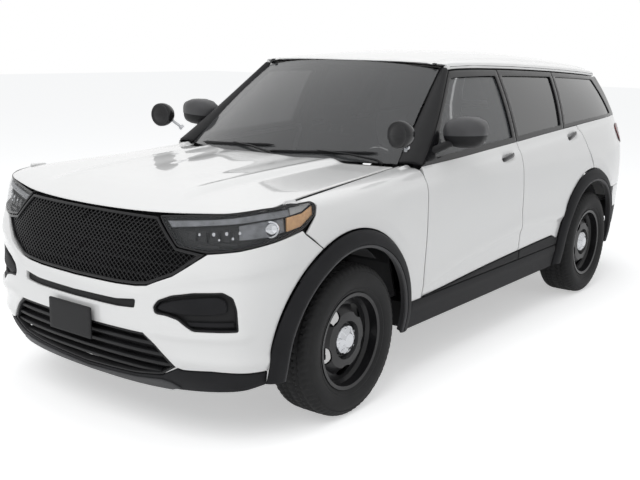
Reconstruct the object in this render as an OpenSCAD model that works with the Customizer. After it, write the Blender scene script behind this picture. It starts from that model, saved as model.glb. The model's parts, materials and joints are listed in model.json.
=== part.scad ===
// Police patrol car: a five-door utility body on steel wheels.
// Front faces -Y, the left side is +X, and the wheels stand on z = 0.
// The outline tables are drawn at the standard size and stretched to the sizes set here.

/* [Overall] */
// Distance between the front and rear axles
wheelbase = 3025; // [2900:5:3300]
// From the front axle to the nose
front_overhang = 900; // [880:5:1000]
// From the rear axle to the tail
rear_overhang = 1125; // [1090:5:1250]
// Width over the wheel arch mouldings
body_width = 2004; // [1990:2:2080]
// Height of the roof above the ground
body_height = 1765; // [1750:5:1900]

/* [Wheels] */
// Outer radius of a tyre
tyre_r = 378; // [340:1:390]
// Section width of a tyre
tyre_w = 255; // [215:1:265]
// Radius of the wheel rim at its flange
rim_r = 241; // [225:1:255]
// Distance between the centres of the left and right tyres
track = 1700; // [1680:2:1720]
// Radius of the bore in a wheel's centre
hub_bore_r = 35.25; // [30:0.25:38]
// Diameter of the circle of wheel studs
stud_circle = 114.3; // [108:0.1:127]

/* [Panels] */
// Gap between two panels
gap = 8; // [7:0.5:11]
// Thickness of a door below its window
door_t = 80; // [60:1:84]
// Thickness of a door's window frame
frame_t = 38; // [30:1:42]
// Thickness of an outer panel such as a fender
skin_t = 5; // [3:0.5:5]
// Thickness of the window glass
glass_t = 5; // [4:0.5:7]
// Thickness of the roof with its lining
roof_t = 40; // [25:1:50]
// Thickness of the bonnet with its frame
hood_t = 26; // [15:1:35]

/* [Hidden] */
$fn = 64;

// ---- numbers shared by several pieces ----
STD_FRONT = -1625;             // axles and ends of the standard size
STD_REAR = 1400;
STD_END = 2525;
length = front_overhang + wheelbase + rear_overhang;
front_axle = -length / 2 + front_overhang;
rear_axle = front_axle + wheelbase;
kx = body_width / 2004;
kz = body_height / 1765;
arch_r = tyre_r + 84;          // radius of a wheel opening
flare_r = arch_r + 92;         // outer radius of its moulding
wheel_x = track / 2;
kingpin_x = wheel_x - 80;
seat = 0.3;                    // clearance between two pieces that sit against each other
seam = 0.5;                    // clearance between glass and its frame
hinge_back = 66;               // from a door's front edge back to its hinge pin
hinge_in = 20;                 // from the skin in to the hinge pin
pillar_in = 102;               // pillars stand this deep behind the skin, clear of the doors' swing
ARCH_STEP = 7.5;               // degrees between the points of a wheel arch

// ---- curves ----
function seg(t, k, i = 0) = (i >= len(t) - 2 || k < t[i + 1][0]) ? i : seg(t, k, i + 1);
function slope(t, i) =
  let (a = max(i - 1, 0), b = min(i + 1, len(t) - 1)) (t[b][1] - t[a][1]) / (t[b][0] - t[a][0]);
// a smooth curve through a table of [key, value], where a value is a number or a vector
function along(t, k0) =
  let (k = max(t[0][0], min(k0, t[len(t) - 1][0])), i = seg(t, k), h = t[i + 1][0] - t[i][0],
       s = (k - t[i][0]) / h, p = t[i][1], q = t[i + 1][1])
  p * (2 * s * s * s - 3 * s * s + 1) + slope(t, i) * h * (s * s * s - 2 * s * s + s)
  + q * (3 * s * s - 2 * s * s * s) + slope(t, i + 1) * h * (s * s * s - s * s);
function straight(t, k0) =
  let (k = max(t[0][0], min(k0, t[len(t) - 1][0])), i = seg(t, k))
  t[i][1] + (t[i + 1][1] - t[i][1]) * (k - t[i][0]) / (t[i + 1][0] - t[i][0]);
function mix(a, b, s) = a + (b - a) * s;
function ease(s0) = let (s = max(0, min(1, s0))) s * s * (3 - 2 * s);
function span(a, b, n) = [for (i = [0:n]) mix(a, b, i / n)];

// from the standard size to this car's size, and back
function map_y(y) =
  y < STD_FRONT ? front_axle + (y - STD_FRONT) * front_overhang / (STD_FRONT + STD_END)
  : y < STD_REAR ? front_axle + (y - STD_FRONT) * wheelbase / (STD_REAR - STD_FRONT)
  : rear_axle + (y - STD_REAR) * rear_overhang / (STD_END - STD_REAR);
function std_y(y) =
  y < front_axle ? STD_FRONT + (y - front_axle) * (STD_FRONT + STD_END) / front_overhang
  : y < rear_axle ? STD_FRONT + (y - front_axle) * (STD_REAR - STD_FRONT) / wheelbase
  : STD_REAR + (y - rear_axle) * (STD_END - STD_REAR) / rear_overhang;
function place(p) = [p[0] * kx, map_y(p[1]), p[2] * kz];

// ---- body form, left half, at the standard size ----
// plan of the body at its widest level: distance along the plan, then [x, y]
PLAN = [
  [-3238, [0, -2525]], [-2988, [250, -2518]], [-2738, [498, -2490]], [-2538, [690, -2432]],
  [-2339, [855, -2320]], [-2178, [925, -2175]], [-1980, [955, -1980]], [-1780, [964, -1780]],
  [-1000, [966, -1000]], [0, [970, 0]], [900, [970, 900]], [1500, [966, 1500]], [1800, [954, 1800]],
  [2021, [930, 2020]], [2226, [885, 2220]], [2420, [790, 2390]], [2613, [620, 2480]],
  [2886, [350, 2518]], [3236, [0, 2525]],
];
// how far the skin lies inside that plan, by height
SIDE_INSET = [[200, 70], [300, 50], [400, 30], [505, 20], [600, 12], [750, 3], [860, 0], [960, 3],
  [1040, 12], [1100, 28], [1165, 50], [1200, 64], [1290, 98]];
FRONT_INSET = [[200, 110], [260, 80], [330, 40], [420, 14], [520, 2], [620, 0], [700, 10], [760, 24],
  [850, 42], [950, 66], [1040, 98], [1100, 140]];
REAR_INSET = [[200, 90], [300, 55], [400, 20], [500, 2], [620, 0], [700, 12], [740, 45], [760, 66],
  [900, 78], [1050, 104], [1200, 148], [1290, 178]];
function normal(u) =
  let (a = along(PLAN, u - 6), b = along(PLAN, u + 6), d = b - a, n = norm(d)) [d[1] / n, -d[0] / n];
function inset(u, z) =
  let (f = ease((-2080 - u) / 560), r = ease((u - 2120) / 400))
  along(SIDE_INSET, z) * (1 - f - r) + along(FRONT_INSET, z) * f + along(REAR_INSET, z) * r;
// a point on the skin, or depth inside it
function skin(u, z, depth = 0) =
  let (c = along(PLAN, u), n = normal(u), d = inset(u, z) + depth) [c[0] - n[0] * d, c[1] - n[1] * d, z];
// belt line, and the rail along the roof's edge
BELT = [[-1100, 1158], [-950, 1166], [-550, 1178], [-130, 1196], [250, 1212], [740, 1234],
  [1450, 1262], [1780, 1272], [2150, 1280]];
RAIL_Z = [[-1100, 1500], [-700, 1600], [-470, 1640], [-250, 1660], [300, 1656], [900, 1638],
  [1300, 1622], [1800, 1598], [2150, 1578]];
RAIL_X = [[-1100, 730], [-470, 698], [0, 706], [700, 706], [1300, 694], [1800, 668], [2150, 640]];
ROOF_Z = [[-700, 1640], [-400, 1706], [-150, 1738], [200, 1760], [550, 1765], [1100, 1757],
  [1700, 1728], [2050, 1700], [2330, 1668]];
function belt(y) = along(BELT, y);
function glasshouse(y, t) =
  let (x0 = skin(y, belt(y))[0], x1 = along(RAIL_X, y), z0 = belt(y), z1 = along(RAIL_Z, y))
  [mix(x0, x1, t) + 56 * t * (1 - t), y, mix(z0, z1, t)];

// ---- the same at this car's size ----
function flip(s, p) = [s < 0 ? -p[0] : p[0], p[1], p[2]];
function front_skin(s, z, depth = 0) = flip(s, place(skin(-3238 + abs(s), z / kz, depth)));
function rear_skin(s, z, depth = 0) = flip(s, place(skin(3236 - abs(s), z / kz, depth)));
function side_pt(y, z, depth = 0) = [kx * skin(std_y(y), z / kz)[0] - depth, y, z];
function belt_z(y) = kz * belt(std_y(y));
// a side wall: v runs 0 to 1 from the height low to the belt, and 1 to 2 on up to the roof rail
function wall(y, v, low, depth = 0) =
  v <= 1 ? side_pt(y, mix(low, belt_z(y), v), depth)
  : let (p = place(glasshouse(std_y(y), v - 1))) [p[0] - depth, y, p[2]];
// lower edge of a panel that passes over a wheel
function over_wheel(y, axle, low, r) =
  abs(y - axle) >= r ? low : max(low, tyre_r + sqrt(r * r - pow(y - axle, 2)));

// shut lines of the doors, at this car's size, by the same v
function shut_a(v) = v <= 1 ? mix(map_y(-948), map_y(-956), v) : mix(map_y(-956), map_y(-329), v - 1);
function shut_b(v) = v <= 1 ? mix(map_y(232), map_y(216), v) : mix(map_y(216), map_y(256), v - 1);
function shut_c_upper(v) = mix(map_y(985), map_y(1135), v - 1);
SILL_Z = 455 * kz;             // lower edge of the doors
function pin_y(v0) = v0 + hinge_back + gap / 2;
front_pin_y = shut_a(0.5) + hinge_back + gap / 2;
rear_pin_y = shut_b(1) + hinge_back + gap / 2;
function pin_x(y) = side_pt(y, 860 * kz, hinge_in)[0];
// rear edge of the rear door below the belt: down from the belt, then round the moulding
function line_c(z) = mix(map_y(1228), map_y(1400), (1250 * kz - z) / (265 * kz));
function shut_c_lower(z) =
  let (r = flare_r + gap, circle = abs(z - tyre_r) < r ? rear_axle - sqrt(r * r - pow(z - tyre_r, 2)) : rear_axle)
  min(line_c(z), circle);
// height at which that line meets the moulding over the wheel
function meet_c(z, n = 8) = n == 0 ? z : meet_c(tyre_r + sqrt(pow(flare_r + gap, 2) - pow(line_c(z) - rear_axle, 2)), n - 1);
MEET_Z = meet_c(920);

// hood: s runs -1 to 1 across it, t from its nose to its rear edge
HOOD_CROWN = [[0, 0], [0.03, 12], [0.1, 26], [0.2, 31], [0.35, 29], [0.6, 20], [1, 0]];
function cowl_y(x) = -1205 + 235 * pow(abs(x) / 800, 2);
function header_y(x) = -420 + 75 * pow(abs(x) / 660, 2);
function hood_std(s, t, depth = 0) =
  let (f = skin(-3238 + 1075 * abs(s), 1052 + 46 * s * s), r = [768 * abs(s), cowl_y(768 * s) - 16, 1172 - 18 * s * s],
       p = mix(f, r, t)) [s < 0 ? -p[0] : p[0], p[1], p[2] + along(HOOD_CROWN, t) * (1 - 0.7 * pow(s, 4)) - depth];
function hood_pt(s, t, depth = 0) = place(hood_std(s, t, depth));
// side edge of the hood at a given y, at the standard size
HOOD_F = skin(-3238 + 1075, 1098);
HOOD_R = [768, cowl_y(768) - 16, 1154];
function hood_side(y) = let (t = (y - HOOD_F[1]) / (HOOD_R[1] - HOOD_F[1])) [mix(HOOD_F[0], HOOD_R[0], t), y, mix(1098, 1154, t)];
function roof_pt(s, y, depth = 0) =
  let (e = along(RAIL_X, y) - 8, ze = along(RAIL_Z, y) + 34, zc = along(ROOF_Z, y))
  place([s * e, y, mix(zc, ze, pow(abs(s), 2.6)) - depth]);

// tailgate: x and z at the standard size
GATE_Y = [[700, 2466], [760, 2462], [900, 2450], [1050, 2428], [1200, 2392], [1290, 2362], [1450, 2290],
  [1560, 2236], [1640, 2190], [1700, 2127]];
GATE_X = [[745, 640], [900, 700], [1050, 728], [1200, 732], [1290, 722], [1450, 672], [1600, 604], [1700, 566]];
function gate_pt(s, z, depth = 0) =
  let (x = s * straight(GATE_X, z), drop = z > 1560 ? 61 * pow((z - 1560) / 137, 2) * pow(abs(s), 2.6) : 0)
  place([x, along(GATE_Y, z) - 135 * pow(abs(x) / 790, 4) - depth, z - drop]);

// ---- solids from grids of points ----
// outer and inner are grids of the same size; holes lists [row from, row to, column from, column to]
module slab(outer, inner, holes = []) {
  nr = len(outer) - 1;
  nc = len(outer[0]) - 1;
  w = nc + 1;
  m = (nr + 1) * w;
  function at(i, j) = i >= 0 && i < nr && j >= 0 && j < nc
    && len([for (h = holes) if (i >= h[0] && i < h[1] && j >= h[2] && j < h[3]) 1]) == 0;
  used = [for (i = [0:nr], j = [0:nc]) at(i, j) || at(i - 1, j) || at(i, j - 1) || at(i - 1, j - 1) ? 1 : 0];
  id = [for (k = 0, n = 0; k < m; n = n + used[k], k = k + 1) n];
  total = id[m - 1] + used[m - 1];
  function a(i, j) = id[i * w + j];
  function b(i, j) = total + id[i * w + j];
  points = concat(
    [for (i = [0:nr], j = [0:nc]) if (used[i * w + j] == 1) outer[i][j]],
    [for (i = [0:nr], j = [0:nc]) if (used[i * w + j] == 1) inner[i][j]]);
  faces = [for (i = [0:nr], j = [0:nc]) each concat(
    at(i, j) ? [[a(i, j), a(i + 1, j + 1), a(i, j + 1)], [a(i, j), a(i + 1, j), a(i + 1, j + 1)],
                [b(i, j), b(i, j + 1), b(i + 1, j + 1)], [b(i, j), b(i + 1, j + 1), b(i + 1, j)]] : [],
    at(i, j) && !at(i - 1, j) ? [[a(i, j), a(i, j + 1), b(i, j + 1)], [a(i, j), b(i, j + 1), b(i, j)]] : [],
    !at(i, j) && at(i - 1, j) ? [[a(i, j), b(i, j + 1), a(i, j + 1)], [a(i, j), b(i, j), b(i, j + 1)]] : [],
    at(i, j) && !at(i, j - 1) ? [[a(i, j), b(i, j), b(i + 1, j)], [a(i, j), b(i + 1, j), a(i + 1, j)]] : [],
    !at(i, j) && at(i, j - 1) ? [[a(i, j), b(i + 1, j), b(i, j)], [a(i, j), a(i + 1, j), b(i + 1, j)]] : [])];
  // faces turn the other way when the grid does
  i0 = floor(nr / 2);
  j0 = floor(nc / 2);
  turned = cross(outer[i0 + 1][j0] - outer[i0][j0], outer[i0][j0 + 1] - outer[i0][j0]) * (outer[i0][j0] - inner[i0][j0]) > 0;
  polyhedron(points = points, faces = turned ? [for (f = faces) [f[2], f[1], f[0]]] : faces);
}
module other_side() mirror([1, 0, 0]) children();
module both() { children(); other_side() children(); }
module bar(a, b, s = [30, 30, 30]) hull() { translate(a) cube(s, center = true); translate(b) cube(s, center = true); }
module rod(a, b, r) hull() { translate(a) sphere(r, $fn = 14); translate(b) sphere(r, $fn = 14); }
// a cylinder along x, from x0 to x1
module axle_cyl(x0, x1, r, y, z) translate([x0, y, z]) rotate([0, 90, 0]) cylinder(h = x1 - x0, r = r);
module box(x0, x1, y0, y1, z0, z1) translate([x0, y0, z0]) cube([x1 - x0, y1 - y0, z1 - z0]);

// ---- doors ----
DOOR_V = [0, 0.12, 0.24, 0.36, 0.46, 0.53, 0.57, 0.6, 0.64, 0.7, 0.85, 1, 1.07, 1.2, 1.4, 1.6, 1.78, 1.9, 1.985];
WIN_LOW = 12;                  // rows of the window's lower and upper edges
WIN_TOP = 17;
function door_depth(v) = v <= 1 ? door_t : frame_t;
// how far the inner face stands back from the door's edge
function door_step(v) = v <= 1 ? 26 : 14;
// width of the window frame at its front edge: the front door has a wide corner that carries the mirror
function frame_w(v, corner) = v > 1 ? 42 + corner * max(0, 1 - (v - 1) / 0.5) : 60;
function door_grid(front, rear, corner, inner) = [for (v = DOOR_V)
  let (f = front(v) + gap / 2, r = rear(v) - gap / 2, e = inner ? door_step(v) : 0, vv = inner ? min(max(v, 0.03), 1.95) : v)
  [for (y = concat([f + e], span(f + frame_w(v, corner), r - frame_w(v, 0), 8), [r - e])) wall(y, vv, SILL_Z, inner ? door_depth(v) : 0)]];
module door(front, rear, corner) {
  slab(door_grid(front, rear, corner, false), door_grid(front, rear, corner, true), [[WIN_LOW, WIN_TOP, 1, 9]]);
}
function rear_shut_c(v) = v <= 1 ? shut_c_lower(mix(SILL_Z, belt_z(map_y(1228)), v)) : shut_c_upper(v);
// pins stand at these heights
HINGE_Z = [700 * kz, 962 * kz];
module hinged(y, x) {
  difference() {
    children();
    for (z = HINGE_Z) {
      hull() box(x - 96, x + 10.2, y - 110, y + 22, z - 42, z + 42);
      hull() box(x - 97, x - 60, y - 111, y + 22, z - 42, z + 42);
    }
  }
  for (z = HINGE_Z) difference() {
    hull() {
      translate([x, y, z + 1]) cylinder(h = 30, r = 9, $fn = 32);
      box(x - 30, x + 3, y + 18, y + 28, z + 1, z + 31);
    }
    hull() translate([x, y, z]) cylinder(h = 50, r = 5.1, $fn = 48);
  }
}
module door_glass(front, rear, corner) {
  function grid(depth) = [for (i = [WIN_LOW:WIN_TOP])
    let (v = DOOR_V[i], vv = v + (i == WIN_LOW ? 1 : i == WIN_TOP ? -1 : 0) * seam / (480 * kz),
         f = front(v) + gap / 2 + frame_w(v, corner) + seam, r = rear(v) - gap / 2 - frame_w(v, 0) - seam)
    [for (y = span(f, r, 8)) wall(y, vv, SILL_Z, depth)]];
  slab(grid(12), grid(12 + glass_t));
}
MIRROR_CORNER = 90;
shut_a_f = function (v) shut_a(v);
shut_b_f = function (v) shut_b(v);
shut_c_f = function (v) rear_shut_c(v);

module front_door_left() color("white") hinged(front_pin_y, pin_x(front_pin_y)) {
  door(shut_a_f, shut_b_f, MIRROR_CORNER);
}
module rear_door_left() color("white") hinged(rear_pin_y, pin_x(rear_pin_y)) {
  door(shut_b_f, shut_c_f, 0);
}
module front_door_right() other_side() front_door_left();
module rear_door_right() other_side() rear_door_left();
module front_door_glass_left() color("grey", 0.5) door_glass(shut_a_f, shut_b_f, MIRROR_CORNER);
module rear_door_glass_left() color("grey", 0.5) door_glass(shut_b_f, shut_c_f, 0);
module front_door_glass_right() other_side() front_door_glass_left();
module rear_door_glass_right() other_side() rear_door_glass_left();

// ---- body side: sill, pillars and roof rail ----
A_TOP = [650, -345, 1668];
A_BASE = [775, -985, 1168];
PILLAR_OFF = [3.5, 5.4, 0];    // from that line, which lies along the windscreen's edge, to the pillar's skin
module a_pillar() {
  function col(c, t, d) =
    let (w = place(mix(A_BASE, A_TOP, t) + PILLAR_OFF), y = shut_a(1 + t) - gap / 2,
         g = place(glasshouse(std_y(y), t)), q = [g[0], y, g[2]], p = mix(w, q, c) + [10, -10, 8] * (4 * c * (1 - c)))
    d == 0 ? p : p + mix([-14, 22, -24], [-44, -6, -8], c);
  slab([for (c = [0, 0.33, 0.67, 1]) [for (t = span(0.03, 0.97, 8)) col(c, t, 0)]],
       [for (c = [0, 0.33, 0.67, 1]) [for (t = span(0.03, 0.97, 8)) col(c, t, 1)]]);
}
module rail(x0, x1, z0, z1) {
  ys = span(shut_a(2) + 14, map_y(2108), 12);
  function grid(x) = [for (z = [z0, (z0 + z1) / 2, z1]) [for (y = ys) let (p = place(glasshouse(std_y(y), 1))) [p[0] - x, y, p[2] + z]]];
  slab(grid(x0), grid(x1));
}
// a round tip at p that sits against a panel, on an arm from q
module prop(p, q, r = 10) rod(p, q, r);
POST_OUT = side_pt(front_pin_y, 860 * kz)[0] - pillar_in;
FLOOR_W = 790 * kx;
module body_side_left() color("black") {
  // sill
  ys = span(front_axle + flare_r + 6, rear_axle - flare_r - 6, 10);
  slab([for (z = [300, 370, 440]) [for (y = ys) side_pt(y, z * kz, 6)]],
       [for (z = [300, 370, 440]) [for (y = ys) [FLOOR_W + seat, y, z * kz]]]);
  // posts that the doors hang on and close against
  for (q = [[front_pin_y - 10, 60], [rear_pin_y - 60, 70]])
    for (k = [[-110, 1020, 1190]])
      bar([POST_OUT + k[0] + 25, q[0], k[1] * kz], [POST_OUT + k[0] + 25, q[0], k[2] * kz], [50, q[1], 20]);
  difference() {
    for (q = [[front_pin_y - 10, 60], [rear_pin_y - 60, 70]]) hull() {
      box(POST_OUT - 84, POST_OUT - 30, q[0] - q[1] / 2 + 1, q[0] + q[1] / 2 - 1, 425 * kz, 440 * kz);
      box(POST_OUT - 84, POST_OUT, q[0] - q[1] / 2 + 1, q[0] + q[1] / 2 - 1, 560 * kz, 1036 * kz);
    }
    // room for the front door's inner corner as it swings
    for (z = [[520, 620], [990, 1060]]) translate([pin_x(front_pin_y), front_pin_y, z[0] * kz]) cylinder(h = (z[1] - z[0]) * kz, r = pin_x(front_pin_y) - POST_OUT + 4.5, $fn = 96);
  }
  for (k = [0:3], y0 = [rear_pin_y - 60, shut_c_upper(1.5) + 24]) {
    p = wall(y0, 1 + k / 4, SILL_Z);
    q = wall(y0, 1 + (k + 1) / 4, SILL_Z);
    bar([p[0] - 74 - 34 * (1 - k / 4), y0, p[2]], [q[0] - 74 - 34 * (1 - (k + 1) / 4), y0, q[2] - (k == 3 ? 10 : 0)], [44, 68, 30]);
  }
  // stays behind the quarter panel, and the seats of the roof
  for (v = [1.2, 1.75]) prop(wall(shut_c_upper(1.5) + (v == 1.2 ? 54 : 84), v, SILL_Z, skin_t + 25 + 12 + (v == 1.2 ? 2 * seat : 3.8)), wall(shut_c_upper(1.5) + 24, v, SILL_Z, 82), 12);
  for (y = [map_y(0), map_y(1000), map_y(1900)]) let (e = roof_edge(y)) prop(e - [24, 0, 10.5], e - [30, 0, 32], 8);
  a_pillar();
  rail(1, 84, 1, 18);
  rail(47, 80, -28, 6);
}
function roof_edge(y) = roof_pt(1, std_y(y));
module body_side_right() other_side() body_side_left();

// ---- quarter panel ----
Q_V = [0, 0.15, 0.3, 0.45, 0.6, 0.75, 0.9, 1, 1.07, 1.3, 1.6, 1.9, 1.985];
Q_REAR = map_y(2110);
// foot of the quarter panel: round the moulding from the rear door, then along the bumper
Q_A0 = acos((rear_axle - line_c(MEET_Z) - gap / 2) / (flare_r + seam));
Q_A1 = 180 - asin((745 * kz - tyre_r) / (flare_r + seam));
Q_AS = concat([Q_A0], [for (a = [ceil(Q_A0 / ARCH_STEP + 0.3) * ARCH_STEP:ARCH_STEP:Q_A1 - 3]) a]);
Q_FOOT = concat([for (a = Q_AS) [rear_axle - (flare_r + seam) * cos(a), tyre_r + (flare_r + seam) * sin(a)]],
  [for (y = span(rear_axle - (flare_r + seam) * cos(Q_A1), Q_REAR, 2)) [y, 745 * kz]]);
Q_N = len(Q_FOOT) - 1;
function q_front(v) = (v <= 1 ? line_c(mix(Q_FOOT[0][1], belt_z(map_y(1228)), v)) : shut_c_upper(v)) + gap / 2;
// j counts the points of the foot, from the rear door back to the corner
function q_side(v, j, d = 0) =
  let (i = min(floor(j), Q_N - 1), foot = mix(Q_FOOT[i], Q_FOOT[i + 1], j - i), t = (foot[0] - Q_FOOT[0][0]) / (Q_REAR - Q_FOOT[0][0]),
       y = mix(q_front(v), Q_REAR, t))
  v <= 1 ? side_pt(y, mix(foot[1], belt_z(y), v), d) : wall(y, v, 0, d);
// k runs 0 to 3 round the corner to the tailgate
function q_tail(v, k, d = 0) =
  let (p = q_side(v, Q_N), z = max(745, p[2] / kz), g = gate_pt(1, z) + [gap, -2, 0], m = (p + g) / 2 + [34, 34, 0],
       q = k == 0 ? mix(p, m, 0.5) + [9, 0, 0] : k == 1 ? m : k == 2 ? mix(m, g, 0.5) + [0, 9, 0] : g)
  q + mix([-d, 0, 0], [0, -d, 0], [0.3, 0.5, 0.7, 1][k]);
module quarter_panel_left() {
  function grid(d) = [for (v = Q_V) concat([for (j = [0:Q_N]) q_side(v, j, d)], [for (k = [0:3]) q_tail(v, k, d)])];
  color("white") slab(grid(0), grid(skin_t + 25), [[8, 11, 1, Q_N - 1]]);
}
module quarter_panel_right() other_side() quarter_panel_left();
module quarter_glass() {
  function grid(d) = [for (i = [8:11]) let (v = Q_V[i] + (i == 8 ? 1 : i == 11 ? -1 : 0) * seam / (400 * kz))
    [for (j = [1:Q_N - 1]) q_side(v, j, d) + [0, j == 1 ? seam : j == Q_N - 1 ? -seam : 0, 0]]];
  color("grey", 0.5) both() slab(grid(8), grid(8 + glass_t));
}

// ---- fender ----
module fender_left() {
  rear = shut_a(0.5) - gap / 2;
  function edge_z(y) = kz * (hood_side(std_y(y))[2] - 34);
  // points of the foot: round the moulding, then back to the door
  as = [52.5:ARCH_STEP:172.5];
  foot = concat([for (a = as) [front_axle - (flare_r + seam) * cos(a), tyre_r + (flare_r + seam) * sin(a)]],
    [for (y = [front_axle + flare_r + 2, (front_axle + flare_r + rear) / 2, rear]) [y, 440 * kz]]);
  n = len(foot) - 1;
  function top_y(j) = mix(map_y(-1846), rear - 6, (foot[j][0] - foot[0][0]) / (rear - foot[0][0]));
  function pt(j, w, d) =
    w <= 1 ? let (y = mix(foot[j][0], top_y(j), ease(w)), z = mix(foot[j][1], edge_z(top_y(j)), w)) side_pt(y, z, d)
    : let (y = top_y(j), a = side_pt(y, edge_z(y)), e = place(hood_side(std_y(y)) + [gap, 0, 0]), t = w - 1)
      [mix(a[0], e[0], t) + 40 * t * (1 - t) - d * (1 - t), y, mix(a[2], e[2], pow(t, 0.7)) - d * t];
  function grid(d) = [for (w = [0, 0.15, 0.35, 0.55, 0.75, 0.9, 1, 1.3, 1.65, 2]) [for (j = [0:n]) pt(j, w, d)]];
  color("white") slab(grid(0), grid(skin_t));
}
module fender_right() other_side() fender_left();

// ---- bumpers ----
BUMP_S = [0, 150, 280, 404, 455, 640, 770, 900, 980, 1060, 1160, 1258];
BUMP_ROWS = [
  [[0, 272], [455, 276], [640, 292], [900, 332], [1060, 370], [1258, 410]],
  [[0, 330], [455, 336], [640, 360], [900, 400], [1060, 432], [1258, 470]],
  [[0, 425], [455, 430], [640, 440], [900, 460], [1060, 480], [1258, 520]],
  [[0, 525], [455, 525], [640, 505], [900, 512], [1060, 530], [1258, 570]],
  [[0, 572], [455, 572], [640, 558], [900, 566], [1060, 590], [1258, 630]],
  [[0, 638], [455, 642], [640, 660], [900, 662], [1060, 680], [1258, 720]],
  [[0, 677], [404, 681], [455, 690], [640, 738], [900, 770], [1060, 790], [1258, 830]],
  [[0, 712], [404, 734], [455, 740], [640, 842], [770, 925], [900, 944], [1060, 958], [1258, 972]],
];
// where the bumper's rear edge stands, along the plan
function bump_end(z) =
  let (r = flare_r + 3.5, dz = z * kz - tyre_r, arch = abs(dz) < r ? std_y(front_axle - sqrt(r * r - dz * dz)) : -1985,
       line = mix(-2000, -1890, (z - 787) / 188) - 3)
  3238 + (z < 787 ? min(arch, -2003) - 8 : min(line, arch) - 3);
function bump_pt(row, s0, d) =
  let (z = straight(BUMP_ROWS[row], abs(s0)), e = bump_end(z) - (d > 0 ? 14 : 0), k = abs(s0) <= 900 ? abs(s0) : mix(900, e, (abs(s0) - 900) / 358))
  front_skin(s0 < 0 ? -k : k, z * kz, d);
module front_bumper() {
  cols = concat([for (i = [11:-1:1]) -BUMP_S[i]], BUMP_S);
  function grid(d) = [for (r = [0:7]) [for (s = cols) bump_pt(r, s, d)]];
  color("white") {
    // columns: 11 is the middle; 8 and 14 stand at 404 either side, 7 and 15 at 455, 4 and 18 at 900
    slab(grid(0), grid(skin_t + 20), [[1, 3, 7, 15], [5, 6, 8, 14], [4, 6, 4, 7], [4, 6, 15, 18]]);
  }
}
REAR_ROWS = [[[0, 400], [900, 410], [1260, 430]], [[0, 470], [900, 470], [1260, 500]], [[0, 560], [1260, 575]],
  [[0, 650], [1260, 650]], [[0, 715], [1260, 715]], [[0, 738], [1260, 738]]];
module rear_bumper() {
  cols = concat([for (i = [9:-1:1]) -i * 140], [for (i = [0:9]) i * 140]);
  function end_s(z) = let (r = flare_r + 3.5, dz = z * kz - tyre_r) 3236 - max(1960, std_y(rear_axle + sqrt(max(0, r * r - dz * dz))));
  function pt(r, s, d) = let (z = straight(REAR_ROWS[r], abs(s)), e = end_s(z) - (d > 0 ? 14 : 0), k = abs(s) <= 900 ? abs(s) : mix(900, e, (abs(s) - 900) / 360))
    rear_skin(s < 0 ? -k : k, z * kz, d);
  function grid(d) = [for (r = [0:5]) [for (s = cols) pt(r, s, d)]];
  color("white") {
    slab(grid(0), grid(skin_t + 20));
  }
}

// ---- grille and lamps ----
GRILLE_TOP = [[0, 1030], [440, 1033], [560, 990], [720, 930]];
PANEL_Y = [map_y(-2340), map_y(-2310)];
BEAM_Y = map_y(-2400);
module grille() {
  cols = [-770, -720, -640, -455, -404, -280, -150, 0, 150, 280, 404, 455, 640, 720, 770];
  function pt(t, s, d) = let (z0 = straight(BUMP_ROWS[7], abs(s)) + 5, z1 = max(z0 + 6, straight(GRILLE_TOP, abs(s)))) front_skin(s, mix(z0, z1, t) * kz, (abs(s) > 600 ? 50 : 30) + d);
  // inserts behind the bumper's openings
  low = concat([for (i = [6:-1:1]) -i * 150], [for (i = [0:6]) i * 150]);
  function lo(z, s, d) = front_skin(s, mix(z, z + 20, abs(s) / 900) * kz, skin_t + 26 + d);
  color("black") {
    slab([for (t = span(0, 1, 4)) [for (s = cols) pt(t, s, 0)]], [for (t = span(0, 1, 4)) [for (s = cols) pt(t, s, 12)]]);
    slab([for (z = [325, 430, 540, 640, 700]) [for (s = low) lo(z, s, 0)]], [for (z = [325, 430, 540, 640, 700]) [for (s = low) lo(z, s, 14)]]);
    // stays to the panel in front of the engine and to the beam
    for (s = [-250, 250]) {
      box(s - 15, s + 15, front_skin(s, 900 * kz, 38)[1], PANEL_Y[0] - seat, 890 * kz, 910 * kz);
      box(s - 15, s + 15, front_skin(s, 540 * kz, 38)[1], BEAM_Y - seat, 530 * kz, 550 * kz);
    }
  }
}
LAMP_LOW = [[452, 1036], [560, 1000], [720, 940], [800, 938], [900, 952], [1060, 966], [1258, 982], [1356, 1030]];
module headlamps() {
  ss = [452, 560, 640, 720, 800, 900, 980, 1060, 1160, 1258, 1356];
  function lead(s) = 1052 + 46 * pow(min(s, 1075) / 1075, 2) - HOOD_NOSE_T - gap;
  // d is 0 on the lens and 1 on the housing's back
  function pt(t, s, d) =
    let (z0 = straight(LAMP_LOW, s) + (s > 780 ? 6 : 2), z1 = s <= 1075 ? lead(s) : 1078, deep = d * (s < 700 ? 34 : 50),
         p = place(hood_side(skin(-3238 + s, 1080)[1])))
    t == 1 && s > 1075 ? [p[0] + gap - deep * 0.3, min(p[1], map_y(-1858)), p[2] - 3 - deep * 0.7]
    : front_skin(s, mix(z0, z1 - d * min(32, 0.6 * (z1 - z0)), t) * kz, (t < 1 ? 4 : 0) + deep);
  color("lightgrey") both() {
    slab([for (t = [0, 0.4, 0.8, 1]) [for (s = ss) pt(t, s, 0)]], [for (t = [0, 0.4, 0.8, 1]) [for (s = ss) pt(t, s, 1)]]);
    box(500, 545, front_skin(530, 1020 * kz, 30)[1], PANEL_Y[0] - seat, 1010 * kz, 1022 * kz);
  }
}
module tail_lamps() {
  function grid(d) = [for (v = [0.56, 0.64, 0.72, 0.8, 0.87])
    concat([for (j = [Q_N - 1, Q_N]) q_side(v, j, d)], [for (k = [0:3]) q_tail(v, k, d)])];
  color("red") both() slab(grid(-9), grid(-1.2));
}

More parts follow.
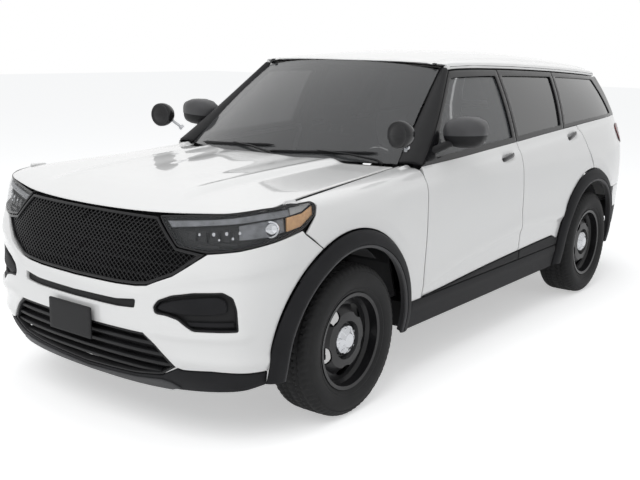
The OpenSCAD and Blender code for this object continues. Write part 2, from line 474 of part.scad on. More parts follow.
// ---- glass, hood, roof, tailgate ----
module windscreen() {
  function pt(s, t, d) = let (b = [770 * s, cowl_y(770 * s) + 14, 1168 - 6 * s * s], h = [646 * s, header_y(646 * s), 1704 - 42 * pow(abs(s), 2.4)],
    p = mix(b, h, t), k = 26 * 4 * t * (1 - t) * (1 - 0.55 * s * s)) place([p[0], p[1] - 0.6 * k + 0.6 * d, p[2] + 0.8 * k - 0.8 * d]);
  color("grey", 0.5) {
    slab([for (t = span(0.01, 0.985, 8)) [for (s = span(-1, 1, 12)) pt(s, t, 0)]], [for (t = span(0.01, 0.985, 8)) [for (s = span(-1, 1, 12)) pt(s, t, glass_t)]]);
  }
}
// panel under the hood's rear edge and the foot of the windscreen
COWL_Z = 1098;
module cowl() {
  function pt(s, k, d) = place([760 * s, k < 3 ? cowl_y(760 * s) + [-70, -6, 10][k] : [-958, -926][k - 3], [1092 - 8 * s * s, 1120 - 8 * s * s, 1140 - 8 * s * s, COWL_Z, COWL_Z][k] - d]);
  color("black") slab([for (k = [0:4]) [for (s = span(-1, 1, 10)) pt(s, k, 0)]], [for (k = [0:4]) [for (s = span(-1, 1, 10)) pt(s, k, 10)]]);
}
HOOD_NOSE_T = 8;
function hood_in(s, t) = hood_pt(s * 0.985, mix(0.008, 0.992, t), mix(HOOD_NOSE_T, hood_t, ease(t / 0.12)));
module hood() color("white") {
  ts = [0, 0.03, 0.08, 0.16, 0.28, 0.42, 0.58, 0.74, 0.88, 1];
  slab([for (t = ts) [for (s = span(-1, 1, 16)) hood_pt(s, t)]], [for (t = ts) [for (s = span(-1, 1, 16)) hood_in(s, t)]]);
}
ROOF_END = 2117;
function round_end(x) = 135 * pow(abs(x) / 790, 4);
HINGE_X = 250;
module roof_panel() {
  ss = span(-1, 1, 14);
  function y(s, t) = mix(header_y(646 * s) + 6, ROOF_END - round_end(s * 632), t);
  color("white") difference() {
    slab([for (s = ss) [for (t = span(0, 1, 12)) roof_pt(s, y(s, t))]],
         [for (s = ss) [for (t = span(0, 1, 12)) roof_pt(s * 0.94, y(s, t) + (t == 0 ? 8 : 0), mix(roof_t, 12, pow(abs(s), 6)))]]);
    for (x = [-HINGE_X, HINGE_X]) {
      box(x - 32, x + 32, gate_pin_y - 30, gate_pin_y + 60, gate_pin_z - 60, gate_pin_z + 11);
      box(x - 13, x + 13, gate_pin_y - 9, gate_pin_y + 60, gate_pin_z, gate_pin_z + 60);
    }
  }
}
GATE_Z = [748, 800, 900, 1000, 1100, 1200, 1275, 1330, 1420, 1520, 1590, 1640, 1697];
module liftgate() {
  ss = concat([-1], span(-0.88, 0.88, 10), [1]);
  function in_z(z) = z < 780 ? z + 14 : z > 1680 ? z - 30 : z;
  color("white") difference() {
    slab([for (z = GATE_Z) [for (s = ss) gate_pt(s, z)]],
         [for (z = GATE_Z) [for (s = ss) gate_pt(z > 1280 && z < 1600 ? s : s * 0.95, in_z(z), z > 1250 ? 45 : 70)]], [[7, 10, 1, 11]]);
    for (x = [-HINGE_X, HINGE_X]) hull() box(x - 32, x + 32, gate_pin_y - 20, gate_pin_y + 32, gate_pin_z - 60, gate_pin_z + 11);
    axle_cyl(-HINGE_X - 32, HINGE_X + 32, 25, gate_pin_y, gate_pin_z);
  }
  color("white") for (x = [-HINGE_X, HINGE_X]) difference() {
    hull() { axle_cyl(x - 10, x + 10, 8, gate_pin_y, gate_pin_z, $fn = 32); box(x - 10, x + 10, gate_pin_y + 30, gate_pin_y + 40, gate_pin_z - 18, gate_pin_z - 2); }
    hull() axle_cyl(x - 20, x + 20, 4.1, gate_pin_y, gate_pin_z);
  }
}
gate_pin_y = map_y(2104);
gate_pin_z = 1674 * kz;
module liftgate_glass() {
  zs = [for (i = [7:10]) GATE_Z[i] + (i == 7 ? seam : i == 10 ? -seam : 0)];
  function grid(d) = [for (z = zs) [for (s = span(-0.88, 0.88, 10)) gate_pt(s - sign(s) * (abs(s) > 0.87 ? seam / 650 : 0), z, d)]];
  color("grey", 0.5) slab(grid(8), grid(8 + glass_t));
}

// ---- mouldings over the wheels and along the sills ----
module flare(axle, a0, a1) {
  as = [a0:ARCH_STEP:a1];
  rs = [arch_r, arch_r + 12, arch_r + 60, flare_r];
  bulge = [30, 40, 32, 6];
  function pt(k, a, d) = let (y = axle - rs[k] * cos(a), z = tyre_r + rs[k] * sin(a), x = min(body_width / 2 - 40, side_pt(y, z)[0]) + bulge[k]) [x - d, y, z];
  slab([for (k = [0:3]) [for (a = as) pt(k, a, 0)]], [for (k = [0:3]) [for (a = as) pt(k, a, k == 3 ? 30 : 70)]]);
}
module side_cladding() color("dimgray") both() {
  flare(front_axle, 0, 180);
  flare(rear_axle, 0, 180);
  ys = span(front_axle + flare_r + 8, rear_axle - flare_r - 8, 10);
  slab([for (z = [292, 330, 400, 440]) [for (y = ys) side_pt(y, z * kz, z > 430 ? 2 : -8)]], [for (z = [292, 330, 400, 440]) [for (y = ys) side_pt(y, z * kz, 4)]]);
}

// ---- floor, firewall, rails and wheel housings ----
SHEET = [[-946, 1087.6], [-1004, 1010], [-1010, 640], [-900, 345], [960, 345], [1060, 560], [1160, 600], [2330, 600]];
JACK_Y = [map_y(-860), map_y(760)];
module floor_pan() color("dimgray") {
  top = [for (p = SHEET) [map_y(p[0]), p[1] * kz]];
  low = [for (p = SHEET) [map_y(p[0]) + (p[0] < -890 ? -12 : 0) + (p[0] > 1000 ? 6 : 0), p[1] * kz - 12 * (p[0] > -1015 ? 1 : 0.4)]];
  w = FLOOR_W;
  difference() {
    rotate([90, 0, 90]) translate([0, 0, -w]) linear_extrude(2 * w) polygon(concat(top, [for (i = [len(low) - 1:-1:0]) low[i]]));
    for (s = [-1, 1]) {
      axle_cyl(s > 0 ? 640 : -1000, s > 0 ? 1000 : -640, arch_r + 0.5, rear_axle, tyre_r);
      box(s > 0 ? pin_x(0) - 180 : -1000, s > 0 ? 1000 : -pin_x(0) + 180, map_y(-1100), rear_axle - arch_r - 10, 250, 1300);
    }
  }
  // wheel housings
  for (m = [0, 1]) mirror([m, 0, 0]) for (q = [[rear_axle, 640, 600], [front_axle, 660, 745]]) intersection() {
    difference() {
      axle_cyl(q[1] - 4, 880 * kx, arch_r + 5, q[0], tyre_r);
      axle_cyl(q[1], 1000, arch_r, q[0], tyre_r);
    }
    box(0, 1000, q[0] - 600, q[0] + 600, q[2] * kz - 20, 1000);
  }
  // rails, with a beam behind each bumper
  for (s = [-1, 1]) {
    box(s * 450 - 45, s * 450 + 45, map_y(-2370), map_y(-1006), 480 * kz, 590 * kz);
    box(s * 450 - 45, s * 450 + 45, map_y(1080), map_y(2380), 470 * kz, 590 * kz);
    box(s * 575 - 125, s * 575 + 125, front_axle - 70, front_axle + 70, tyre_r + arch_r + 4, 960 * kz);
    box(s * 470 - 20, s * 470 + 20, front_axle - 70, front_axle + 70, 580 * kz, 900 * kz);
  }
  // pads for a jack
  for (s = [-1, 1], y = JACK_Y) box(s * 700 - 40, s * 700 + 40, y - 50, y + 50, 250, 340 * kz);
  box(-560, 560, BEAM_Y, map_y(-2365), 470 * kz, 600 * kz);
  box(-545, 545, PANEL_Y[0], PANEL_Y[1], 580 * kz, 1030 * kz);
  // stays of the bumpers and stops under the hood
  for (s = [-1, 1]) {
    prop(front_skin(s * 770, 754 * kz, skin_t + 20 + 10 + seat), [s * 540, PANEL_Y[0] + 15, 760 * kz]);
    prop(rear_skin(s * 420, 565 * kz, skin_t + 20 + 10 + seat), [s * 420, map_y(2400), 560 * kz]);
    q = hood_in(s * 0.5, 0.08);
    prop(q - [0, 0, 10 + seat], [q[0], PANEL_Y[0] + 15, 1010 * kz]);
  }
  box(-620, 620, map_y(2375), map_y(2420), 470 * kz, 600 * kz);
}
module engine() color("dimgray") {
  box(-330, 330, map_y(-2150), map_y(-1240), 400 * kz, 960 * kz);
  box(-405 + seat, 405 - seat, map_y(-1900), map_y(-1820), 500 * kz, 560 * kz);
}

// ---- suspension ----
module spindle(s, axle) {
  axle_cyl(s > 0 ? kingpin_x : -wheel_x - 40, s > 0 ? wheel_x + 40 : -kingpin_x, hub_bore_r - 0.05, axle, tyre_r);
}
module front_knuckle_left() color("dimgray") {
  axle_cyl(kingpin_x, wheel_x + 40, hub_bore_r - 0.05, front_axle, tyre_r);
  translate([kingpin_x, front_axle, tyre_r - 114 + 2 * seat]) cylinder(h = 228 - 3 * seat, r = 24);
  axle_cyl(kingpin_x - 24, kingpin_x + 40, 60, front_axle, tyre_r);
  box(kingpin_x - 20, kingpin_x, front_axle, front_axle + 110, tyre_r - 90, tyre_r - 66);
}
module front_knuckle_right() other_side() front_knuckle_left();
module arm(z, z2, spread, x0) {
  for (s = [-1, 1]) hull() {
    translate([kingpin_x, front_axle, z - 10]) cylinder(h = 20, r = 26, $fn = 20);
    translate([x0, front_axle + s * spread, z2 - 10]) cylinder(h = 20, r = 20, $fn = 20);
  }
}
module front_subframe() color("dimgray") {
  for (s = [-1, 1]) box(s * 380 - 30, s * 380 + 30, front_axle - 260, front_axle + 260, 220, 300);
  box(-400, 400, front_axle - 60, front_axle + 60, 225, 295);
  for (s = [-1, 1], y = [-220, 220]) box(s * 420 - 20, s * 420 + 20, front_axle + y - 25, front_axle + y + 25, 240, 480 * kz - seat);
  for (s = [-1, 1]) box(s * 400 - 25, s * 400 + 25, front_axle - 245, front_axle + 245, 240, 290);
  both() {
    arm(tyre_r - 124, tyre_r - 124, 150, 395);
    arm(tyre_r + 124, tyre_r + 132, 70, 515 + seat);
    // spring and damper
    translate([600, front_axle, tyre_r - 120]) cylinder(h = 480, r = 20, $fn = 24);
    translate([600, front_axle, tyre_r + 150]) cylinder(h = 300, r = 46, $fn = 32);
    box(560, 640, front_axle - 45, front_axle + 45, tyre_r + 116, tyre_r + 152);
    box(545, 655, front_axle - 55, front_axle + 55, tyre_r + 440, tyre_r + arch_r + 4 - seat);
  }
}
module rear_suspension() color("dimgray") {
  box(-380, 380, rear_axle - 50, rear_axle + 50, 300, 380);
  for (s = [-1, 1]) box(s * 380 - 30, s * 380 + 30, rear_axle - 260, rear_axle + 260, 300, 380);
  for (s = [-1, 1], y = [-230, 230]) box(s * 425 - 25, s * 425 + 25, rear_axle + y - 25, rear_axle + y + 25, 320, 470 * kz - seat);
  both() {
    axle_cyl(kingpin_x - 30, wheel_x + 40, hub_bore_r - 0.05, rear_axle, tyre_r);
    axle_cyl(kingpin_x - 30, kingpin_x + 40, 70, rear_axle, tyre_r);
    box(kingpin_x - 30, kingpin_x - 6, rear_axle - 40, rear_axle + 40, tyre_r - 110, tyre_r + 110);
    for (s = [-1, 1]) hull() {
      translate([kingpin_x - 18, rear_axle, tyre_r - 100]) cylinder(h = 22, r = 22, $fn = 24);
      translate([400, rear_axle + s * 180, tyre_r - 60]) cylinder(h = 22, r = 22, $fn = 24);
    }
    hull() {
      translate([kingpin_x - 18, rear_axle, tyre_r + 84]) cylinder(h = 22, r = 20, $fn = 24);
      translate([390, rear_axle, tyre_r - 20]) cylinder(h = 22, r = 20, $fn = 24);
    }
  }
}
module exhaust() color("grey") {
  z = 258;
  translate([0, map_y(-1150), z]) rotate([-90, 0, 0]) cylinder(h = map_y(1850) - map_y(-1150), r = 32);
  translate([-220, map_y(1900), 300]) rotate([0, 90, 0]) cylinder(h = 440, r = 75);
  for (s = [-1, 1]) {
    box(s * 200 - 20, s * 200 + 20, map_y(1900), map_y(2250), 290, 330);
    translate([s * 560, map_y(2230), 330]) rotate([-90, 0, 0]) cylinder(h = 190, r = 42);
    axle_cyl(s > 0 ? 190 : -570, s > 0 ? 570 : -190, 24, map_y(2240), 320);
  }
  // hangers
  for (y = [map_y(-600), map_y(700)]) box(-8, 8, y - 8, y + 8, z + 20, 345 * kz - 12 - seat);
}
module fuel_tank() color("black") box(150, 620, map_y(290), map_y(900), 225, 345 * kz - 12 - seat);

// ---- wheels ----
module tyre() color("black") rotate([0, 90, 0]) rotate_extrude($fn = 96) {
  h = tyre_w / 2;
  polygon([[tyre_r, -h + 40], [tyre_r, h - 40], [tyre_r - 8, h - 18], [tyre_r - 36, h - 5], [tyre_r - 70, h],
    [rim_r + 30, h - 6], [rim_r + 2, h - 24], [rim_r - 10, h - 26], [rim_r - 11, h - 46], [rim_r + 6, h - 50], [tyre_r - 60, h - 14],
    [tyre_r - 24, h - 40], [tyre_r - 16, 0], [tyre_r - 24, -h + 40], [tyre_r - 60, -h + 14], [rim_r + 6, -h + 50],
    [rim_r - 11, -h + 46], [rim_r - 10, -h + 26], [rim_r + 2, -h + 24], [rim_r + 30, -h + 6], [tyre_r - 70, -h],
    [tyre_r - 36, -h + 5], [tyre_r - 8, -h + 18]]);
}
// outer face points along +x
module wheel() color("dimgray") difference() {
  rotate([0, 90, 0]) rotate_extrude($fn = 96) {
    h = tyre_w / 2;
    b = rim_r - 11 - seat;
    polygon([[rim_r, -h + 17], [rim_r, -h + 22], [b, -h + 24], [b, -h + 60], [b - 16, -h + 76], [b - 16, h - 96], [b, h - 66],
      [b, h - 24], [rim_r, h - 22], [rim_r, h - 17], [b - 6, h - 20], [b - 8, h - 66], [b - 20, h - 84], [176, h - 78],
      [140, h - 50], [96, h - 46], [84, h - 72], [hub_bore_r, h - 72], [hub_bore_r, h - 100], [90, h - 96], [100, h - 56], [136, h - 58],
      [170, h - 86], [b - 22, h - 96], [b - 22, -h + 74], [b - 6, -h + 58], [b - 6, -h + 17]]);
  }
  for (k = [0:4]) rotate([k * 72 + 36, 0, 0]) translate([-20, 0, 158]) rotate([0, 90, 0]) scale([0.62, 1, 1]) cylinder(h = 140, r = 46);
  for (k = [0:4]) rotate([k * 72, 0, 0]) translate([0, 0, stud_circle / 2]) rotate([0, 90, 0]) cylinder(h = 140, r = 7);
}
module at_wheel(s, axle) translate([s * wheel_x, axle, tyre_r]) mirror([s < 0 ? 1 : 0, 0, 0]) children();
module tyre_front_left() at_wheel(1, front_axle) tyre();
module tyre_front_right() at_wheel(-1, front_axle) tyre();
module tyre_rear_left() at_wheel(1, rear_axle) tyre();
module tyre_rear_right() at_wheel(-1, rear_axle) tyre();
module wheel_front_left() at_wheel(1, front_axle) wheel();
module wheel_front_right() at_wheel(-1, front_axle) wheel();
module wheel_rear_left() at_wheel(1, rear_axle) wheel();
module wheel_rear_right() at_wheel(-1, rear_axle) wheel();

// ---- cabin ----
WHEEL_AT = [370, -470, 1000];
WHEEL_TILT = 26;
module dashboard() color("black") {
  rotate([90, 0, 90]) translate([0, 0, -740 * kx]) linear_extrude(1480 * kx)
    polygon([for (p = [[-950, 1050], [-915, 1080], [-900, 1112], [-760, 1112], [-640, 1060], [-620, 900], [-700, 760], [-990, 740]]) [map_y(p[0]), p[1] * kz]]);
  box(-120, 120, map_y(-700), map_y(100), 345 * kz + seat, 640 * kz);
  // beam between the door posts
  box(-POST_OUT + 84 + seat, POST_OUT - 84 - seat, front_pin_y - 40, front_pin_y, 880 * kz, 940 * kz);
  p = place(WHEEL_AT);
  translate(p) rotate([90 + WHEEL_TILT, 0, 0]) translate([0, 0, 40]) cylinder(h = 200, r = 34);
  translate(p) rotate([90 + WHEEL_TILT, 0, 0]) translate([0, 0, -12]) cylinder(h = 60, r = 12);
}
module steering_wheel() color("black") translate(place(WHEEL_AT)) rotate([90 + WHEEL_TILT, 0, 0]) {
  rotate_extrude($fn = 72) translate([182, 0]) circle(15, $fn = 20);
  difference() {
    union() {
      translate([0, 0, -20]) cylinder(h = 50, r = 62);
      for (a = [0, 180, 270]) rotate([0, 0, a]) box(40, 172, -20, 20, -8, 8);
    }
    translate([0, 0, -16]) cylinder(h = 60, r = 12.05);
  }
}
module seat(x, y) translate([x, map_y(y), 0]) {
  hull() { box(-235, 235, -300, 220, 520 * kz, 640 * kz); box(-215, 215, -280, 200, 500 * kz, 660 * kz); }
  box(-190, 190, -240, 200, 345 * kz + seat, 520 * kz);
  hull() { box(-225, 225, 150, 270, 620 * kz, 700 * kz); box(-215, 215, 300, 380, 1180 * kz, 1220 * kz); }
  hull() { box(-110, 110, 330, 400, 1240 * kz, 1300 * kz); box(-95, 95, 350, 400, 1380 * kz, 1400 * kz); }
  for (s = [-1, 1]) translate([s * 50, 350, 1200 * kz]) cylinder(h = 60 * kz, r = 8);
}
module front_seats() color("dimgray") { seat(370, -330); seat(-370, -330); }
module rear_seat() color("dimgray") {
  w = 600 * kx;
  box(-w, w, map_y(540), map_y(930), 345 * kz + seat, 640 * kz);
  rotate([90, 0, 90]) translate([0, 0, -w]) linear_extrude(2 * w)
    polygon([for (p = [[880, 640], [925, 580], [1030, 610], [1240, 1200], [1130, 1220]]) [map_y(p[0]), p[1] * kz]]);
}

// ---- outside fittings ----
SIDE_OUT = [0.91, 0, 0.41];    // outward from the side glass
module mirror_left() color("black") {
  foot = wall(map_y(-806), 1.11, SILL_Z) + SIDE_OUT * (16 + seat);
  hull() for (p = [[935, -700, 1300], [935, -700, 1350], [1100, -665, 1305], [1090, -665, 1375], [955, -625, 1290], [955, -625, 1380], [1085, -615, 1292], [1080, -615, 1385]])
    translate(place(p)) sphere(22, $fn = 16);
  hull() { translate(foot) sphere(16, $fn = 16); translate(foot + [10, 55, 30]) sphere(16, $fn = 16); translate(place([985, -680, 1300])) sphere(20, $fn = 16); }
}
module mirror_right() other_side() mirror_left();
module spotlights() color("black") both() {
  t = 0.15;
  w = place(mix(A_BASE, A_TOP, t) + PILLAR_OFF);
  y = shut_a(1 + t) - gap / 2;
  g = place(glasshouse(std_y(y), t));
  foot = mix(w, [g[0], y, g[2]], 0.6) + [10, -10, 8] * 0.96 + [0.2, -0.6, 0.775] * (9 + seat);
  translate(place([882, -1118, 1343])) sphere(72);
  rod(place([880, -1062, 1318]), foot, 10);
}
module door_hinges() color("dimgray") both() {
  for (y = [front_pin_y, rear_pin_y], z = HINGE_Z) {
    x = pin_x(y);
    translate([x, y, z - 31]) cylinder(h = 30, r = 9, $fn = 32);
    translate([x, y, z - 4]) cylinder(h = 34, r = 5, $fn = 32);
    box(POST_OUT + seat, x, y - 7, y + 7, z - 31, z - 3);
  }
  // tailgate hinges, hung from the roof
  axle_cyl(HINGE_X - 26, HINGE_X + 26, 4, gate_pin_y, gate_pin_z);
  for (d = [-26, 11]) {
    axle_cyl(HINGE_X + d, HINGE_X + d + 15, 8, gate_pin_y, gate_pin_z);
    box(HINGE_X + d, HINGE_X + d + 15, gate_pin_y - 30 + seat, gate_pin_y, gate_pin_z - 6, gate_pin_z + 6);
  }
}

floor_pan();
body_side_left();
body_side_right();
quarter_panel_left();
quarter_panel_right();
roof_panel();
fender_left();
fender_right();
front_bumper();
rear_bumper();
grille();
headlamps();
tail_lamps();
windscreen();
cowl();
quarter_glass();
side_cladding();
engine();
front_subframe();
rear_suspension();
exhaust();
fuel_tank();
dashboard();
front_seats();
rear_seat();
spotlights();
door_hinges();
hood();
liftgate();
liftgate_glass();
front_door_left();
front_door_right();
rear_door_left();
rear_door_right();
front_door_glass_left();
front_door_glass_right();
rear_door_glass_left();
rear_door_glass_right();
mirror_left();
mirror_right();
steering_wheel();
front_knuckle_left();
front_knuckle_right();
tyre_front_left();
tyre_front_right();
tyre_rear_left();
tyre_rear_right();
wheel_front_left();
wheel_front_right();
wheel_rear_left();
wheel_rear_right();
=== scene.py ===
"""Police patrol car: the looks of every piece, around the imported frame.

Shapes are worked out in millimetres from the same curves as the CAD model and placed in metres.
"""
import json
import math
from functools import partial

import bmesh
import bpy
import numpy as np
from mathutils import Matrix, Vector
from mathutils.geometry import delaunay_2d_cdt


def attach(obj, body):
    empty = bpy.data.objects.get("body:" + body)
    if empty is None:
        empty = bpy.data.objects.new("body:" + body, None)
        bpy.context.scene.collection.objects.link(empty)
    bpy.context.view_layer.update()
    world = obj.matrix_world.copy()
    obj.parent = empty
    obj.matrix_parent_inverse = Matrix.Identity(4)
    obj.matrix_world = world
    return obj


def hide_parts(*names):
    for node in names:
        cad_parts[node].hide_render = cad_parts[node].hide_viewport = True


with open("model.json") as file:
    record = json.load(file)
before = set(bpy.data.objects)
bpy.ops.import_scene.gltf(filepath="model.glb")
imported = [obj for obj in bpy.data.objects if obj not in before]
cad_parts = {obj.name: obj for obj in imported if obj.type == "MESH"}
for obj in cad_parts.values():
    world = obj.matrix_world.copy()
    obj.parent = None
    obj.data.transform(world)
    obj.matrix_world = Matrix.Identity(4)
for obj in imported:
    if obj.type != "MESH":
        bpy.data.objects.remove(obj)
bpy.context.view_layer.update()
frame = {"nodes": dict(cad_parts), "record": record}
MM = 0.001
SIDES = {"left": 1, "right": -1}
JOINT = {j["name"]: [c / MM for c in j["pos_m"]] for j in frame["record"]["behaviour"]["joints"]}
FRONT_AXLE = JOINT["front_left_wheel_spin"][1]
REAR_AXLE = JOINT["rear_left_wheel_spin"][1]
WHEEL_X, _, TYRE_R = JOINT["rear_left_wheel_spin"]

# ---------------------------------------------------------------- curves of the body, in mm
ARCH_R = TYRE_R + 84      # radius of a wheel opening
FLARE_R = ARCH_R + 92     # outer radius of its moulding
HALF_GAP = 4              # from a shut line to a panel's edge
SILL_Z = 455
NOSE = 3238               # length of the plan from the nose to the side's zero
TAIL = 3236

PLAN = [
    [-3238, [0, -2525]], [-2988, [250, -2518]], [-2738, [498, -2490]], [-2538, [690, -2432]],
    [-2339, [855, -2320]], [-2178, [925, -2175]], [-1980, [955, -1980]], [-1780, [964, -1780]],
    [-1000, [966, -1000]], [0, [970, 0]], [900, [970, 900]], [1500, [966, 1500]], [1800, [954, 1800]],
    [2021, [930, 2020]], [2226, [885, 2220]], [2420, [790, 2390]], [2613, [620, 2480]],
    [2886, [350, 2518]], [3236, [0, 2525]],
]
SIDE_INSET = [[200, 70], [300, 50], [400, 30], [505, 20], [600, 12], [750, 3], [860, 0], [960, 3],
              [1040, 12], [1100, 28], [1165, 50], [1200, 64], [1290, 98]]
FRONT_INSET = [[200, 110], [260, 80], [330, 40], [420, 14], [520, 2], [620, 0], [700, 10], [760, 24],
               [850, 42], [950, 66], [1040, 98], [1100, 140]]
REAR_INSET = [[200, 90], [300, 55], [400, 20], [500, 2], [620, 0], [700, 12], [740, 45], [760, 66],
              [900, 78], [1050, 104], [1200, 148], [1290, 178]]
BELT = [[-1100, 1158], [-950, 1166], [-550, 1178], [-130, 1196], [250, 1212], [740, 1234],
        [1450, 1262], [1780, 1272], [2150, 1280]]
RAIL_Z = [[-1100, 1500], [-700, 1600], [-470, 1640], [-250, 1660], [300, 1656], [900, 1638],
          [1300, 1622], [1800, 1598], [2150, 1578]]
RAIL_X = [[-1100, 730], [-470, 698], [0, 706], [700, 706], [1300, 694], [1800, 668], [2150, 640]]
ROOF_Z = [[-700, 1640], [-400, 1706], [-150, 1738], [200, 1760], [550, 1765], [1100, 1757],
          [1700, 1728], [2050, 1700], [2330, 1668]]
HOOD_CROWN = [[0, 0], [0.03, 12], [0.1, 26], [0.2, 31], [0.35, 29], [0.6, 20], [1, 0]]
GATE_Y = [[700, 2466], [760, 2462], [900, 2450], [1050, 2428], [1200, 2392], [1290, 2362], [1450, 2290],
          [1560, 2236], [1640, 2190], [1700, 2127]]
GATE_X = [[745, 640], [900, 700], [1050, 728], [1200, 732], [1290, 722], [1450, 672], [1600, 604], [1700, 566]]
ROOF_END = 2117


def hermite(a, leave, b, arrive, s):
    """The cubic from a to b over s from 0 to 1, with its slopes at both ends."""
    return (a * (2 * s**3 - 3 * s**2 + 1) + leave * (s**3 - 2 * s**2 + s)
            + b * (3 * s**2 - 2 * s**3) + arrive * (s**3 - s**2))


def along(table, key):
    """A smooth curve through a table of [key, value]; a value is a number or a point."""
    keys = np.array([row[0] for row in table], float)
    values = np.array([row[1] for row in table], float)
    flat = values.ndim == 1
    values = values[:, None] if flat else values
    key = np.clip(np.asarray(key, float), keys[0], keys[-1])
    last = len(keys) - 1
    i = np.clip(np.searchsorted(keys, key, side="right") - 1, 0, last - 1)
    low, high = np.maximum(np.arange(last + 1) - 1, 0), np.minimum(np.arange(last + 1) + 1, last)
    slope = (values[high] - values[low]) / (keys[high] - keys[low])[:, None]
    h = (keys[i + 1] - keys[i])[..., None]
    s = (key[..., None] - keys[i][..., None]) / h
    result = hermite(values[i], slope[i] * h, values[i + 1], slope[i + 1] * h, s)
    return result[..., 0] if flat else result


def straight(table, key):
    return np.interp(key, [row[0] for row in table], [row[1] for row in table])


def ease(s):
    s = np.clip(s, 0, 1)
    return s * s * (3 - 2 * s)


def mix(a, b, t):
    return a + (b - a) * t


def xyz(x, y, z):
    return np.stack(np.broadcast_arrays(x, y, z), -1).astype(float)


def skin(u, z):
    """A point on the body's skin, u along the plan and z above the ground."""
    u, z = np.broadcast_arrays(np.asarray(u, float), np.asarray(z, float))
    c = along(PLAN, u)
    d = along(PLAN, u + 6) - along(PLAN, u - 6)
    d /= np.hypot(d[..., 0], d[..., 1])[..., None]
    f, r = ease((-2080 - u) / 560), ease((u - 2120) / 400)
    inset_by = along(SIDE_INSET, z) * (1 - f - r) + along(FRONT_INSET, z) * f + along(REAR_INSET, z) * r
    return xyz(c[..., 0] - d[..., 1] * inset_by, c[..., 1] + d[..., 0] * inset_by, z)


def side(y, z):
    """The side of the body as x over y and z: skin up to the belt, glasshouse above it."""
    belt, rail = along(BELT, y), along(RAIL_Z, y)
    t = np.clip((z - belt) / (rail - belt), 0, 1.15)
    x0 = skin(y, np.minimum(z, belt))[..., 0]
    x = np.where(z <= belt, x0, mix(x0, along(RAIL_X, y), t) + 56 * t * (1 - t))
    return xyz(x, y, z)


def glasshouse_z(y, t):
    return mix(along(BELT, y), along(RAIL_Z, y), t)


def both_ways(p, s):
    """Points worked out on the left, put on the right where s is below zero."""
    p[..., 0] *= np.where(s < 0, -1, 1)
    return p


def front(s, z):
    return both_ways(skin(np.abs(s) - NOSE, z), s)


def rear(s, z):
    return both_ways(skin(TAIL - np.abs(s), z), s)


def cowl_y(x):
    return -1205 + 235 * (np.abs(x) / 800) ** 2


def header_y(x):
    return -420 + 75 * (np.abs(x) / 660) ** 2


HOOD_HALF, HOOD_LONG = 768, 1100


def hood(u, v):
    s, t = u / HOOD_HALF, v / HOOD_LONG
    f = skin(-NOSE + 1075 * np.abs(s), 1052 + 46 * s * s)
    r = xyz(HOOD_HALF * np.abs(s), cowl_y(HOOD_HALF * s) - 16, 1172 - 18 * s * s)
    p = both_ways(mix(f, r, t[..., None]), s)
    p[..., 2] += along(HOOD_CROWN, t) * (1 - 0.7 * s**4)
    return p


HOOD_FRONT_Z, HOOD_REAR_Z = 1098.0, 1154      # the hood's side edge at its two ends
HOOD_FRONT = skin(np.array(-NOSE + 1075.0), np.array(HOOD_FRONT_Z))
HOOD_REAR = np.array([HOOD_HALF, cowl_y(HOOD_HALF) - 16, HOOD_REAR_Z])


def hood_side(y):
    """The hood's side edge, by y."""
    t = (y - HOOD_FRONT[1]) / (HOOD_REAR[1] - HOOD_FRONT[1])
    return xyz(mix(HOOD_FRONT[0], HOOD_REAR[0], t), y, mix(HOOD_FRONT_Z, HOOD_REAR_Z, t))


def roof(u, y):
    s = u / 650
    return xyz(s * (along(RAIL_X, y) - 8), y, mix(along(ROOF_Z, y), along(RAIL_Z, y) + 34, np.abs(s) ** 2.6))


def gate(u, z):
    s = u / 700
    x = s * straight(GATE_X, z)
    drop = np.where(z > 1560, 61 * ((z - 1560) / 137) ** 2 * np.abs(s) ** 2.6, 0)
    return xyz(x, along(GATE_Y, z) - 135 * (np.abs(x) / 790) ** 4, z - drop)


def windscreen(u, v):
    s, t = u / 700, v / 900
    b = xyz(770 * s, cowl_y(770 * s) + 14, 1168 - 6 * s * s)
    h = xyz(646 * s, header_y(646 * s), 1704 - 42 * np.abs(s) ** 2.4)
    k = 26 * 4 * t * (1 - t) * (1 - 0.55 * s * s)
    return mix(b, h, t[..., None]) + xyz(0 * k, -0.6 * k, 0.8 * k)


FOLD = 120                # length of the fender's fold from its side to the hood


def fender(y, v):
    """The side, then a fold over to the hood's edge from v = fold_start(y) on."""
    start = fold_start(y)
    low = side(y, np.minimum(v, start))
    edge = hood_side(y) + [2 * HALF_GAP, 0, 0]
    span = np.linalg.norm(edge - side(y, start), axis=-1)[..., None] * 1.2
    slope = (side(y, start) - side(y, start - 4)) / 4 * span
    t = np.clip((v - start) / FOLD, 0, 1)[..., None]
    top = hermite(low, slope, edge, np.array([-0.95, 0, 0.1]) * span, t)
    return np.where((v > start)[..., None], top, low)


def fold_start(y):
    """Height at which the fender turns over: at the lamp's top, further back well below the hood."""
    return hood_side(y)[..., 2] + mix(7, -52, ease((y + 2080) / 230))


CORNER_Y, CORNER = 2110, 260     # where the side starts to turn, and how long the turn is
QUARTER_FOOT = 745               # height of the quarter panel's lower edge behind the wheel


def quarter(u, z):
    """The side back to CORNER_Y, then round the corner to the tailgate."""
    flat = side(np.minimum(u, CORNER_Y), z)
    p = side(np.full_like(z, CORNER_Y), z)
    ahead = (p - side(np.full_like(z, CORNER_Y - 30), z)) / 30
    g = gate(np.full_like(z, 700.0), np.clip(z, QUARTER_FOOT, 1697)) + [2 * HALF_GAP, -2, 0]
    g[..., 2] = z
    span = np.linalg.norm(g - p, axis=-1)[..., None] * 1.25
    t = np.clip((u - CORNER_Y) / CORNER, 0, 1)[..., None]
    bend = hermite(p, ahead * span, g, np.array([-0.86, 0.30, 0]) * span, t)
    return np.where((u > CORNER_Y)[..., None], bend, flat)


